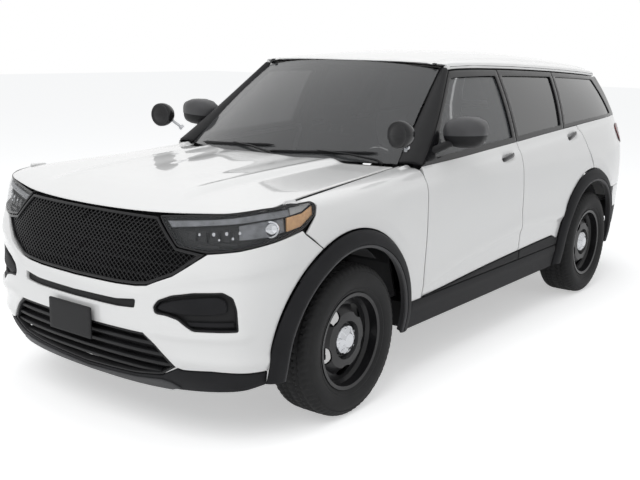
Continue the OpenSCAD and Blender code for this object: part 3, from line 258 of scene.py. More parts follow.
# shut lines of the doors: y at a height z
def shut_a(z):
    return np.interp(z, [SILL_Z, 1166, 1655], [-948, -956, -329])


def line_c(z):
    """The rear door's rear edge, above the wheel moulding and below the belt."""
    return 1228 + 172 * (1250 - z) / 265


# ---------------------------------------------------------------- form lines pressed into the sides
CLADDING_TOP = [[-960, 452], [-875, 456], [-197, 495], [278, 514], [700, 527], [770, 524], [863, 487], [1100, 479]]
LOWER_LINE = [[-960, 512], [-855, 535], [-462, 607], [276, 672], [886, 652], [1250, 640]]
HANDLES = {"front": (30, 1130), "rear": (1085, 1188)}


def crest(d, above, below):
    """A ridge at d = 0 that fades over one width above it and another below."""
    return np.exp(-(d / np.where(d > 0, above, below)) ** 2)


def bump_round(y, z, cy, cz, ry, rz):
    return np.exp(-(((y - cy) / ry) ** 4 + ((z - cz) / rz) ** 4))


def side_form(y, z):
    above = z - (1122 + 0.055 * y)
    lower = z - along(LOWER_LINE, y)
    fade = ease((y + 1560) / 300) * ease((2200 - y) / 300)
    shoulder = 9 * crest(above, 26, 100) * fade
    doors = ease((y + 1000) / 120) * ease((1260 - y) / 200)
    ledge = 11 * crest(lower, 70, 26) * doors
    cups = sum(13 * bump_round(y, z, cy + 6, cz - 2, 76, 21) for cy, cz in HANDLES.values())
    return shoulder + ledge - cups


def fender_form(y, z):
    """The crease that runs round the wheel moulding, besides the shoulder."""
    r = np.hypot(y - FRONT_AXLE, z - TYRE_R) - (FLARE_R + 74)
    ring = 6 * crest(r, 60, 22) * ease((z - 700) / 200)
    return side_form(y, z) * ease((y + 1500) / 300) + ring


def rear_arch_form(y, z):
    r = np.hypot(y - REAR_AXLE, z - TYRE_R) - (FLARE_R + 60)
    ring = 5 * crest(r, 60, 22) * ease((z - 640) / 150)
    return side_form(y, z) + ring * ease((REAR_AXLE + 700 - y) / 100)


def hood_form(u, v):
    """Two creases that bound the raised middle, and a shallow second pair inside them."""
    t = v / HOOD_LONG
    x = np.abs(u) / HOOD_HALF * mix(930, HOOD_HALF, t)
    outer = mix(392, 470, t)
    rise = (1 - ease((x - outer) / 60)) * ease((t - 0.03) / 0.2)
    ridge = np.exp(-((x - outer + 14) / 26) ** 2) * ease((t - 0.05) / 0.25)
    hollow = np.exp(-((x - mix(150, 250, t)) / 75) ** 2) * ease((t - 0.25) / 0.4)
    return 17 * rise + 6 * ridge - 6 * hollow


def roof_form(u, y):
    channel = np.exp(-((np.abs(u) - 560) / 12) ** 4)
    ribs = np.cos(np.clip(np.abs(u) / 130, 0,
                          3.5) * 2 * math.pi) * 1.3 * ease((y + 100) / 300) * ease((1750 - y) / 200)
    return -5 * channel + ribs * (np.abs(u) < 455)


def gate_form(u, z):
    plate = bump_round(u, z, 0, 915, 285, 92)
    ledge = np.exp(-(((z - 1075) / 26) ** 2)) * 9 * (1 - (np.abs(u) / 720) ** 4)
    return ledge - 12 * plate


# ---------------------------------------------------------------- mesh building
def rounded(points, radius=0, bend=5):
    """A closed outline with its corners rounded; a third number on a point is its own radius."""
    result = []
    n = len(points)
    for i, point in enumerate(points):
        r = point[2] if len(point) > 2 else radius
        p = np.array(point[:2], float)
        a, b = np.array(points[i - 1][:2], float) - p, np.array(points[(i + 1) % n][:2], float) - p
        la, lb = np.linalg.norm(a), np.linalg.norm(b)
        r = min(r, 0.45 * la, 0.45 * lb)
        if r <= 0.5:
            result.append(p)
            continue
        start, end = p + a / la * r, p + b / lb * r
        result += [mix(mix(start, p, t), mix(p, end, t), t) for t in np.linspace(0, 1, bend)]
    return np.array(result)


def resample(loop, step):
    """Points no more than step apart round a closed loop, with its own points kept."""
    result = []
    for a, b in zip(loop, np.roll(loop, -1, 0)):
        count = max(1, int(math.ceil(np.linalg.norm(b - a) / step - 0.2)))
        result += [mix(a, b, k / count) for k in range(count)]
    return np.array(result)


def area(loop):
    nxt = np.roll(loop, -1, 0)
    return 0.5 * np.sum(loop[:, 0] * nxt[:, 1] - loop[:, 1] * nxt[:, 0])


def inset(loop, amount):
    """The loop moved to its left by amount."""
    if not amount:
        return loop
    before, after = loop - np.roll(loop, 1, 0), np.roll(loop, -1, 0) - loop
    before /= np.linalg.norm(before, axis=1)[:, None]
    after /= np.linalg.norm(after, axis=1)[:, None]
    n1, n2 = before[:, ::-1] * [-1, 1], after[:, ::-1] * [-1, 1]
    m = n1 + n2
    m /= np.maximum(np.linalg.norm(m, axis=1), 1e-6)[:, None]
    return loop + m * (amount / np.maximum(0.5, np.sum(m * n1, 1)))[:, None]


def inside(points, loops):
    x, y = points[:, 0][:, None], points[:, 1][:, None]
    count = np.zeros(len(points), int)
    for loop in loops:
        a, b = loop, np.roll(loop, -1, 0)
        crosses = (a[:, 1] > y) != (b[:, 1] > y)
        dy = np.where(np.abs(b[:, 1] - a[:, 1]) < 1e-12, 1e-12, b[:, 1] - a[:, 1])
        count += np.sum(crosses & (x < a[:, 0] + (y - a[:, 1]) * (b[:, 0] - a[:, 0]) / dy), 1)
    return count % 2 == 1


def triangles(loops, step):
    """Fills the space between loops: points, triangles, and which point each loop point became."""
    rim = np.concatenate(loops)
    edges, start = [], 0
    for loop in loops:
        edges += [(start + i, start + (i + 1) % len(loop)) for i in range(len(loop))]
        start += len(loop)
    low, high = rim.min(0), rim.max(0)
    rows = np.arange(low[1] + step / 2, high[1], step * 0.87)
    grid = np.array([(u + (k % 2) * step / 2, v) for k,
                     v in enumerate(rows) for u in np.arange(low[0] + step / 3, high[0], step)])
    if len(grid):
        grid = grid[inside(grid, loops)]
    if len(grid):
        near = np.array([np.min(np.sum((rim - p) ** 2, 1)) for p in grid])
        grid = grid[near > (0.5 * step) ** 2]
    points = np.concatenate([rim, grid]) if len(grid) else rim
    verts, _, faces, origin, _, _ = delaunay_2d_cdt([Vector(p) for p in points], edges, [], 0, 1e-5)
    verts = np.array([tuple(v) for v in verts])
    faces = np.array([f for f in faces if len(f) == 3])
    index = np.zeros(len(rim), int)
    for i, olds in enumerate(origin):
        for k in olds:
            if k < len(rim):
                index[k] = i
    corners = verts[faces]
    faces = faces[inside(corners.mean(1), loops)]
    corners = verts[faces]
    e1, e2 = corners[:, 1] - corners[:, 0], corners[:, 2] - corners[:, 0]
    turned = e1[:, 0] * e2[:, 1] - e1[:, 1] * e2[:, 0]
    faces[turned < 0] = faces[turned < 0][:, ::-1]
    return verts, faces[np.abs(turned) > 1e-7], index


def lift(surface, uv, depth, outward, form=None):
    """Points over a surface, depth behind it, with its pressed form."""
    (u, v), h = uv.T, 1.0
    p = surface(u, v)
    n = np.cross(surface(u + h, v) - surface(u - h, v), surface(u, v + h) - surface(u, v - h))
    n /= np.maximum(np.linalg.norm(n, axis=1), 1e-9)[:, None]
    n *= np.where(n @ np.array(outward, float) < 0, -1, 1)[:, None]
    return p + n * ((form(u, v) if form else 0) - depth)[:, None] if form else p - n * depth


def shell(surface, outward, loops, depth, step=16, edge=3.0, back=0.0, form=None, back_step=2.5, sink=0.0):
    """A closed panel over a surface: a front with rolled edges, its sides, and a back face."""
    loops = [np.asarray(loop, float) for loop in loops]
    loops = [loop if (area(loop) > 0) == (k == 0) else loop[::-1] for k, loop in enumerate(loops)]
    loops = [resample(loop, step) for loop in loops]
    rings = [(edge * 0.3, edge * 0.3), (0, edge)] if edge else []
    uv, faces, rim = triangles([inset(loop, edge) for loop in loops], step)
    verts = [lift(surface, uv, sink, outward, form)]
    faces = [tuple(f) for f in faces]
    ids, total = [rim], len(uv)
    for amount, d in rings:
        ring = np.concatenate([inset(loop, amount) for loop in loops])
        verts.append(lift(surface, ring, sink + d, outward, form))
        ids.append(np.arange(len(ring)) + total)
        total += len(ring)
    uv, behind, rim = triangles([inset(loop, back) for loop in loops], step * back_step)
    verts.append(lift(surface, uv, sink + depth, outward))
    faces += [tuple(f[::-1] + total) for f in behind]
    ids.append(rim + total)
    for upper, lower in zip(ids, ids[1:]):
        start = 0
        for loop in loops:
            n = len(loop)
            for i in range(n):
                j = start + (i + 1) % n
                i += start
                faces.append((upper[j], upper[i], lower[i], lower[j]))
            start += n
    verts = np.concatenate(verts)
    # turn the faces outward, whichever way the surface runs
    centre = verts[list(faces[0][:3])]
    normal = np.cross(centre[1] - centre[0], centre[2] - centre[0])
    if normal @ np.array(outward, float) < 0:
        faces = [f[::-1] for f in faces]
    return verts, faces


def grid_faces(rows, columns, wrap_rows=False, wrap_columns=False):
    faces = []
    for i in range(rows if wrap_rows else rows - 1):
        for j in range(columns if wrap_columns else columns - 1):
            a, b = i * columns + j, i * columns + (j + 1) % columns
            c, d = ((i + 1) % rows) * columns + (j + 1) % columns, ((i + 1) % rows) * columns + j
            faces.append((a, b, c, d))
    return faces


def tube(points, across, over=None, up=(0, 0, 1), n=14):
    """A closed bar along points with half sizes across and over, which may change along it."""
    points = np.array(points, float)
    count = len(points)
    across = np.broadcast_to(np.asarray(across, float), count)
    over = across if over is None else np.broadcast_to(np.asarray(over, float), count)
    t = np.gradient(points, axis=0)
    t /= np.linalg.norm(t, axis=1)[:, None]
    s = np.cross(t, np.array(up, float))
    s /= np.linalg.norm(s, axis=1)[:, None]
    v = np.cross(s, t)
    a = np.arange(n) * 2 * math.pi / n
    rings = (points[:, None] + s[:, None] * (across[:, None] * np.cos(a))[..., None]
             + v[:, None] * (over[:, None] * np.sin(a))[..., None])
    verts = np.concatenate([rings.reshape(-1, 3), points[:1], points[-1:]])
    faces = [f[::-1] for f in grid_faces(count, n, wrap_columns=True)]
    last = (count - 1) * n
    faces += [(k, (k + 1) % n, count * n) for k in range(n)]
    faces += [(last + (k + 1) % n, last + k, count * n + 1) for k in range(n)]
    return verts, faces


def lathe(profile, n=64, wave=None):
    """A closed ring of [radius, x] turned round the x axis; wave(angle, k) adds to radius and x."""
    profile = np.array(profile, float)
    a = np.arange(n) * 2 * math.pi / n
    r, x = np.broadcast_to(profile[:, 0],
                           (n, len(profile))).copy(), np.broadcast_to(profile[:, 1], (n, len(profile))).copy()
    if wave is not None:
        dr, dx = wave(a[:, None], profile)
        r, x = r + dr, x + dx
    verts = np.stack([x, r * np.cos(a)[:, None], r * np.sin(a)[:, None]], -1).reshape(-1, 3)
    return verts, [f[::-1] for f in grid_faces(n, len(profile), wrap_rows=True, wrap_columns=True)]


def disc(profile, n=48):
    """A solid turned round the x axis from profile points [radius, x], first and last on the axis."""
    verts, faces = lathe(profile[1:-1], n)
    m = len(profile) - 2
    faces = [f for f in faces if not ({k % m for k in f} == {0, m - 1})] if m > 2 else faces
    verts = np.concatenate([verts, [[profile[0][1], 0, 0]], [[profile[-1][1], 0, 0]]])
    for i in range(n):
        j = (i + 1) % n
        faces.append((i * m, j * m, n * m))
        faces.append((j * m + m - 1, i * m + m - 1, n * m + 1))
    return verts, faces


def rounded_box(low, high, radius, seg=3, dent=None):
    """A box with rounded edges, from a cube's grid pushed onto a smaller box and a ball."""
    low, high = np.array(low, float), np.array(high, float)
    centre, half = (low + high) / 2, (high - low) / 2
    radius = min(radius, half.min() * 0.98)
    verts, faces, index = [], [], {}
    axes = []
    for k in range(3):
        inner = half[k] - radius
        curve = [math.sin(i / seg * math.pi / 4) / math.sin(math.pi / 4) for i in range(seg + 1)]
        flat = max(1, int(2 * inner / 90)) if dent else 1
        axes.append(np.concatenate([[-half[k] + radius * (1 - c) for c in curve[::-1]],
                                    np.linspace(-inner, inner, flat + 1)[1:-1] if inner > 0 else [],
                                    [half[k] - radius * (1 - c) for c in curve]]))
    for k in range(3):
        a, b = [i for i in range(3) if i != k]
        for sign in (-1, 1):
            ids = np.zeros((len(axes[a]), len(axes[b])), int)
            for i, p in enumerate(axes[a]):
                for j, q in enumerate(axes[b]):
                    point = np.zeros(3)
                    point[k], point[a], point[b] = sign * half[k], p, q
                    core = np.clip(point, -(half - radius), half - radius)
                    d = point - core
                    point = core + d / max(np.linalg.norm(d), 1e-9) * radius
                    key = tuple(np.round(point, 4))
                    if key not in index:
                        index[key] = len(verts)
                        verts.append(point + centre)
                    ids[i, j] = index[key]
            for i in range(len(axes[a]) - 1):
                for j in range(len(axes[b]) - 1):
                    f = (ids[i, j], ids[i + 1, j], ids[i + 1, j + 1], ids[i, j + 1])
                    if len(set(f)) < 3:
                        continue
                    f = tuple(dict.fromkeys(f))
                    faces.append(f if (sign > 0) == (k != 1) else f[::-1])
    return np.array(verts), faces


def join(*parts):
    verts, faces, total = [], [], 0
    for v, f in parts:
        verts.append(v)
        faces += [tuple(k + total for k in face) for face in f]
        total += len(v)
    return np.concatenate(verts), faces


def moved(part, offset=(0, 0, 0), matrix=None):
    v, f = part
    v = np.asarray(v, float)
    if matrix is not None:
        v = v @ np.array(matrix, float).T
    return v + np.array(offset, float), f


def mirrored(part):
    return part[0] * [-1, 1, 1], [f[::-1] for f in part[1]]


def new_object(name, data):
    obj = bpy.data.objects.new(name, data)
    bpy.context.scene.collection.objects.link(obj)
    return obj


def add(name, part, look, body="car_body", replaces=(), sharp=32):
    """A visible piece from vertices in mm."""
    verts, faces = part
    mesh = bpy.data.meshes.new(name)
    mesh.from_pydata((np.asarray(verts) * MM).tolist(), [], [tuple(int(k) for k in f) for f in faces])
    mesh.validate()
    soup = bmesh.new()
    soup.from_mesh(mesh)
    bmesh.ops.recalc_face_normals(soup, faces=soup.faces)
    soup.to_mesh(mesh)
    soup.free()
    mesh.polygons.foreach_set("use_smooth", [True] * len(mesh.polygons))
    mesh.set_sharp_from_angle(angle=math.radians(sharp))
    obj = new_object(name, mesh)
    obj.data.materials.append(FINISH[look])
    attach(obj, body)
    if replaces:
        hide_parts(replaces)
    return obj


def pair(name, part, look, body="car_body", replaces=(), sharp=32):
    """The same piece on the left and, mirrored, on the right; {} stands for the side."""
    for word, sign in SIDES.items():
        add(f"{name}_{word}", part if sign > 0 else mirrored(part), look, body.format(word),
            replaces.format(word) if replaces else (), sharp)


# ---------------------------------------------------------------- materials
FINISH, SLOT = {}, {}


def node(tree, kind, operation=None, **values):
    """A new shader node; its inputs' names have _ for a space."""
    made = tree.nodes.new("ShaderNode" + kind)
    if operation:
        made.operation = operation
    for key, value in values.items():
        made.inputs[key.replace("_", " ")].default_value = value
    return made


def wire(tree, *links):
    for start, end in links:
        tree.links.new(start, end)


def finish(name, slot, color, rough=0.5, metal=0.0, coat=0.0, vary=0.06, scale=3.0, bump=0.0, bump_scale=400.0,
           rough_vary=0.08, alpha=1.0, sheen=0.0, weave=False, specular=0.5):
    """A procedural material: its colour and roughness wander with noise, and fine grain comes from bump."""
    material = bpy.data.materials.new(name)
    material.use_nodes = True
    tree = material.node_tree
    shader = tree.nodes["Principled BSDF"]
    place = node(tree, "TexCoord").outputs["Object"]
    noise = node(tree, "TexNoise", Scale=scale, Detail=4)
    ramp = node(tree, "ValToRGB")
    for stop, position, change in zip(ramp.color_ramp.elements, (0.3, 0.7), (1 - vary, 1 + vary)):
        stop.position, stop.color = position, (*[min(1, c * change) for c in color], 1)
    spread = node(tree, "MapRange", To_Min=max(0.02, rough * (1 - rough_vary)),
                  To_Max=min(1, rough * (1 + rough_vary)))
    wire(tree, (place, noise.inputs["Vector"]), (noise.outputs["Fac"], ramp.inputs["Fac"]),
         (ramp.outputs["Color"], shader.inputs["Base Color"]), (noise.outputs["Fac"], spread.inputs["Value"]),
         (spread.outputs["Result"], shader.inputs["Roughness"]))
    for key, value in (("Metallic", metal), ("Specular IOR Level", specular), ("Coat Weight", coat),
                       ("Coat Roughness", 0.04), ("Alpha", alpha), ("Sheen Weight", sheen)):
        shader.inputs[key].default_value = value
    if bump:
        grain = node(tree, "TexVoronoi" if weave else "TexNoise", Scale=bump_scale)
        relief = node(tree, "Bump", Strength=bump, Distance=0.001)
        wire(tree, (place, grain.inputs["Vector"]), (grain.outputs["Distance" if weave else "Fac"],
                                                     relief.inputs["Height"]),
             (relief.outputs["Normal"], shader.inputs["Normal"]))
    FINISH[name], SLOT[name] = material, slot


# The slight change of tone over about a metre in both paints is painted soft reflection.
finish("white_paint", "paint", (0.80, 0.80, 0.795), 0.34, coat=1.0, vary=0.012, scale=1.2, bump=0.02, bump_scale=900)
finish("bumper_paint", "bumper", (0.80, 0.80, 0.795), 0.36, coat=1.0, vary=0.014, scale=1.5, bump=0.03,
       bump_scale=900)
finish("black_plastic", "trim_black", (0.012, 0.012, 0.013), 0.5, vary=0.25, scale=6, bump=0.3, bump_scale=900,
       specular=0.22)
finish("gloss_black", "trim_black", (0.008, 0.008, 0.009), 0.22, coat=0.15, vary=0.2, scale=5, specular=0.3)
finish("cladding", "trim_black", (0.016, 0.016, 0.0175), 0.56, vary=0.2, scale=5, bump=0.45, bump_scale=700,
       specular=0.12)
finish("cladding_light", "trim_black", (0.045, 0.045, 0.048), 0.48, vary=0.15, scale=5, bump=0.4, bump_scale=700,
       specular=0.3)
finish("underbody_black", "underbody", (0.02, 0.02, 0.022), 0.8, vary=0.3, scale=7, bump=0.6, bump_scale=300)
finish("clear_lens", "lamp_clear", (0.10, 0.105, 0.11), 0.05, vary=0.04, alpha=0.14, coat=0.4)
finish("lamp_grey", "lamp_clear", (0.27, 0.28, 0.30), 0.35, vary=0.25, scale=30, coat=0.4)
finish("lamp_dark", "lamp_clear", (0.014, 0.0145, 0.016), 0.3, vary=0.4, scale=25, coat=0.15, specular=0.3)
finish("lamp_chip", "lamp_clear", (0.55, 0.55, 0.55), 0.3, vary=0.1, scale=30, coat=0.3)
finish("lamp_chrome", "lamp_clear", (0.75, 0.77, 0.80), 0.12, metal=1.0, vary=0.1, scale=20)
finish("amber", "lamp_clear", (0.92, 0.50, 0.22), 0.25, vary=0.15, scale=60, coat=0.8)
finish("red_lens", "lamp_red", (0.13, 0.006, 0.008), 0.2, vary=0.3, scale=30, coat=0.2, alpha=0.98, specular=0.3)
finish("front_glass", "glass_clear", (0.10, 0.105, 0.11), 0.03, vary=0.05, alpha=0.55, coat=0.6)
finish("screen_glass", "glass_clear", (0.07, 0.072, 0.075), 0.03, vary=0.05, alpha=0.62, coat=0.6)
finish("privacy_glass", "glass_dark", (0.016, 0.017, 0.018), 0.04, vary=0.08, alpha=0.90, coat=0.6)
finish("cast_metal", "engine_metal", (0.16, 0.16, 0.165), 0.6, metal=0.6, vary=0.25, scale=9, bump=0.7,
       bump_scale=150)
finish("chassis_black", "chassis", (0.03, 0.03, 0.032), 0.5, vary=0.3, scale=9, bump=0.4, bump_scale=250)
finish("dull_steel", "exhaust_steel", (0.36, 0.34, 0.32), 0.42, metal=0.9, vary=0.2, scale=8, bump=0.3,
       bump_scale=200)
finish("cabin", "cabin_plastic", (0.035, 0.035, 0.038), 0.62, vary=0.2, scale=7, bump=0.5, bump_scale=600)
finish("headlining", "cabin_plastic", (0.18, 0.175, 0.17), 0.9, vary=0.1, scale=9, bump=0.5, bump_scale=900)
finish("seat_fabric", "seat_cloth", (0.045, 0.045, 0.05), 0.92, vary=0.25, scale=60, bump=0.9, bump_scale=900,
       sheen=0.25, weave=True)
finish("rubber", "tyre", (0.017, 0.017, 0.0175), 0.72, vary=0.25, scale=11, bump=0.5, bump_scale=500, specular=0.25)
finish("wheel_black", "wheel_steel", (0.010, 0.010, 0.011), 0.34, vary=0.2, scale=8, bump=0.15, bump_scale=500,
       coat=0.1, specular=0.3)
finish("chrome", "wheel_steel", (0.52, 0.53, 0.55), 0.2, metal=1.0, vary=0.06, scale=14)
finish("mirror_silver", "trim_black", (0.80, 0.81, 0.82), 0.03, metal=1.0, vary=0.02)
# Lighter grey for the mirror's top: a painted highlight for the light on its top.
finish("mirror_grey", "trim_black", (0.055, 0.055, 0.058), 0.42, vary=0.15, scale=8, bump=0.35, bump_scale=700)

CARRIED = {
    "underbody_black": ["floor_pan"],
    "black_plastic": ["body_side_left", "body_side_right", "cowl", "fuel_tank"],
    "cast_metal": ["engine"],
    "chassis_black": ["front_subframe", "rear_suspension", "front_knuckle_left", "front_knuckle_right",
                      "door_hinges"],
    "dull_steel": ["exhaust"],
    "cabin": ["dashboard", "steering_wheel"],
    "wheel_black": [f"wheel_{end}_{side}" for end in ("front", "rear") for side in SIDES],
}
for look, names in CARRIED.items():
    for name in names:
        mesh = frame["nodes"][name].data
        mesh.materials.clear()
        mesh.materials.append(FINISH[look])
        if name.startswith("wheel") or name == "steering_wheel":
            mesh.polygons.foreach_set("use_smooth", [True] * len(mesh.polygons))
            mesh.set_sharp_from_angle(angle=math.radians(30))

# ---------------------------------------------------------------- outlines shared by several pieces
SIDE_OUT, FRONT_OUT, SCREEN_OUT = (1, 0, 0), (0, -1, 0), (0, -0.6, 0.8)
DOOR_EDGE = 26            # how far a door's inner face stands back from its edge
PAINT_DEPTH = 58          # of a door's skin, its edge included
LAMP_TOP_Z = 1107


def belt_z(y):
    return along(BELT, y)


def strip(bottom, right, top, left):
    """A closed loop from four runs of points, anticlockwise, with doubled ends dropped."""
    points = [p for run in (bottom, right, top, left) for p in run]
    return np.array([p for p, q in zip(points, points[-1:] + points[:-1]) if np.hypot(p[0] - q[0], p[1] - q[1]) > 0.5])


def run(ys, zs):
    return [(float(y), float(z)) for y, z in zip(*np.broadcast_arrays(ys, zs))]


def band(u, low, high):
    """The closed loop between two heights along u."""
    return strip(run(u, low), [], run(u[::-1], high), [])


def ring(axle, radius, a0, a1, n=30):
    """Points on a circle round an axle, by the angle in degrees up from straight ahead."""
    a = np.radians(np.linspace(a0, a1, n))
    return [(float(y), float(z)) for y, z in zip(axle - radius * np.cos(a), TYRE_R + radius * np.sin(a))]


def glasshouse_loop(ya, yb, ts, n=16, foot=None):
    """A loop on the glasshouse between ya and yb, which are given at the heights ts."""
    def at(y, t):
        return run(y, glasshouse_z(np.minimum(y, CORNER_Y), t))
    across = np.linspace(0, 1, n)
    return strip(at(mix(ya[0], yb[0], across), ts[0] if foot is None else foot), at(yb, ts),
                 at(mix(yb[-1], ya[-1], across), ts[-1]), at(ya[::-1], ts[::-1]))


def upper_loop(ahead, behind, t0, t1, in_front, in_rear=lambda t: HALF_GAP + 0 * t):
    """A door's loop on the glasshouse between heights t0 and t1; ahead and behind give y by t."""
    ts = np.linspace(t0, t1, 14)
    return glasshouse_loop(ahead(ts) + in_front(ts), behind(ts) - in_rear(ts), ts)


# front and rear ends of the door glass by height t, from the belt at 0 to the rail at 1
UPPER_A = lambda t: mix(-956, -329, t)
UPPER_B = lambda t: mix(216, 256, t)
UPPER_C = lambda t: mix(985, 1135, t)
FRAME_W = lambda t: HALF_GAP + 42 + 0 * t
MIRROR_FRAME_W = lambda t: HALF_GAP + 42 + 90 * np.maximum(0, 1 - t / 0.5)
EDGE = lambda t: HALF_GAP + 0 * t

FLARE_EDGE = FLARE_R + HALF_GAP
door_a = lambda z: mix(-948, -956, (z - SILL_Z) / 711) + HALF_GAP
door_b = lambda z: mix(232, 216, (z - SILL_Z) / 756)
MEET_A = math.degrees(math.acos((REAR_AXLE - line_c(939) + HALF_GAP) / FLARE_EDGE))
FOOT_A = 180 - math.degrees(math.asin((QUARTER_FOOT - TYRE_R) / FLARE_EDGE))


def front_door_loop(low, high, edge=0):
    z0, z1 = low(-950), high(-950)
    z2, z3 = low(226), high(216)
    ys = np.linspace(door_a(z0) + edge, door_b(z2) - HALF_GAP - edge, 24)
    zs_rear, zs_front = np.linspace(z2, z3, 16), np.linspace(z1, z0, 16)
    top = np.linspace(door_b(z3) - HALF_GAP - edge, door_a(z1) + edge, 24)
    return strip(run(ys, low(ys)), run(door_b(zs_rear) - HALF_GAP - edge, zs_rear), run(top, high(top)),
                 run(door_a(zs_front) + edge, zs_front))


def rear_door_loop(low, high, edge=0):
    r = FLARE_EDGE + edge
    foot = math.degrees(math.asin((low(855) - TYRE_R) / r))
    y_foot = REAR_AXLE - r * math.cos(math.radians(foot))
    z3 = high(1230)
    z_meet = TYRE_R + r * math.sin(math.radians(MEET_A - 1))
    ys = np.linspace(door_b(low(232)) + HALF_GAP + edge, y_foot, 24)
    rise = np.linspace(z_meet + 4, z3, 12)
    top = np.linspace(line_c(z3) - HALF_GAP - edge, door_b(z3) + HALF_GAP + edge, 24)
    down = np.linspace(high(220), low(232), 16)
    return strip(run(ys, low(ys)), ring(REAR_AXLE, r, foot, MEET_A - 1,
                                        36) + run(line_c(rise) - HALF_GAP - edge, rise),
                 run(top, high(top)), run(door_b(down) + HALF_GAP + edge, down))


# lower and upper ends of the doors' parts by y
cladding_top = lambda y: along(CLADDING_TOP, y)
paint_foot = lambda y: cladding_top(y) + 3
sill_foot = lambda y: SILL_Z + 0 * np.asarray(y, float)
belt_edge = lambda y: belt_z(y) - 1


def plate(half, low, high, radius, bend=5):
    """A rounded rectangle about the middle plane."""
    return rounded([(-half, low), (half, low), (half, high), (-half, high)], radius, bend)


def circle(y, z, r, n, rz=None):
    return np.array([(y + r * math.cos(a), z + (rz or r) * math.sin(a))
                     for a in np.linspace(0, 2 * math.pi, n, endpoint=False)])


def plane_y(at_y):
    return lambda x, z: xyz(x, at_y, z)


on_side = partial(shell, side, SIDE_OUT)
on_quarter = partial(shell, quarter, SIDE_OUT)
on_roof = partial(shell, roof, (0, 0, 1))
on_hood = partial(shell, hood, (0, 0, 1))
on_gate = partial(shell, gate, (0, 1, 0))
on_rear = partial(shell, rear, (0, 1, 0))
on_front = partial(shell, front, FRONT_OUT)
on_screen = partial(shell, windscreen, SCREEN_OUT)

# ---------------------------------------------------------------- doors
WINDOW_T = 0.07, 0.9      # foot and head of the side windows, from the belt at 0 to the rail at 1
FRAME_T = 0.985           # head of the black frames
HINGE_Z, HINGE_LONG = (701, 963), 30
ARMREST_Z = 830


def doors():
    for end, loop, ahead, behind, corner, glass, arm_y, lean in (
            ("front", front_door_loop, UPPER_A, UPPER_B, MIRROR_FRAME_W, "front_glass", (-560, 120), 0.13),
            ("rear", rear_door_loop, UPPER_B, UPPER_C, FRAME_W, "privacy_glass", (420, 1020), 0.2)):
        def put(name, part, look, replaces=()):
            pair(f"{end}_door_{name}", part, look, end + "_door_{}_leaf", replaces)
        put("skin", on_side([loop(paint_foot, belt_edge)], PAINT_DEPTH, 15, 3.5, DOOR_EDGE, side_form),
            "white_paint", end + "_door_{}")
        if end == "front":
            foot = loop(lambda y: sill_foot(y) + 1, lambda y: np.maximum(cladding_top(y), SILL_Z + 4))
        else:
            foot = loop(lambda y: sill_foot(y) + 1, cladding_top)
            foot = strip([p for p in foot if p[1] <= 530 and p[0] < REAR_AXLE - 540], [], [], [])
        put("cladding", on_side([foot], 40, 15, 3, 8, sink=-7), "cladding")
        rim = upper_loop(ahead, behind, 0.0, FRAME_T, EDGE)
        window = rounded(upper_loop(ahead, behind, *WINDOW_T, corner, FRAME_W), 8, 3)
        put("frame", on_side([rim, window], 38, 14, 3, 10), "gloss_black")
        put("pane", on_side([inset(window, 0.6)], 5, 22, 0, 0, sink=11), glass, end + "_door_glass_{}")
        trim = loop(lambda y: sill_foot(y) + 40, lambda y: belt_z(y) - 4, DOOR_EDGE + 4)
        put("trim", on_side([trim], 20, 30, 4, 12, sink=PAINT_DEPTH + 1), "cabin")
        arm = [(skin(y, ARMREST_Z)[0] - 92, y, ARMREST_Z) for y in np.linspace(*arm_y, 14)]
        put("armrest", tube(arm, [4] + [20] * 12 + [4], [6] + [24] * 12 + [6], n=16), "cabin")
        x, y, _ = JOINT[end + "_door_left_hinge"]
        put("knuckles", join(*[part for z in HINGE_Z for part in (
            tube([(x, y, z), (x, y, z + HINGE_LONG)], 9, n=24, up=(0, 1, 0)),
            rounded_box((x - 30, y + 7, z), (x + 3, y + 30, z + HINGE_LONG), 2))]), "chassis_black")
        cy, cz = HANDLES[end]
        ys = np.linspace(-86, 86, 17)
        x = side(cy + ys, cz + lean * ys)[:, 0]
        stand = 9 + 9 * (1 - (ys / 86) ** 4)
        put("handle", tube(np.stack([x + stand - 6, cy + ys, cz + lean * ys], -1),
                           [1.5] + [8] * 15 + [1.5], [4] + [14] * 15 + [4], n=16), "gloss_black")
        cup = circle(0, 0, 70, 28, 19)
        cup[:, 1] += lean * cup[:, 0]
        put("handle_cup", on_side([cup + [cy, cz]], 8, 10, 2, 0, sink=11.5), "black_plastic")


# ---------------------------------------------------------------- fixed sides, roof, rear
FENDER_FOOT = 440.0       # height of the fender's lower edge behind the wheel


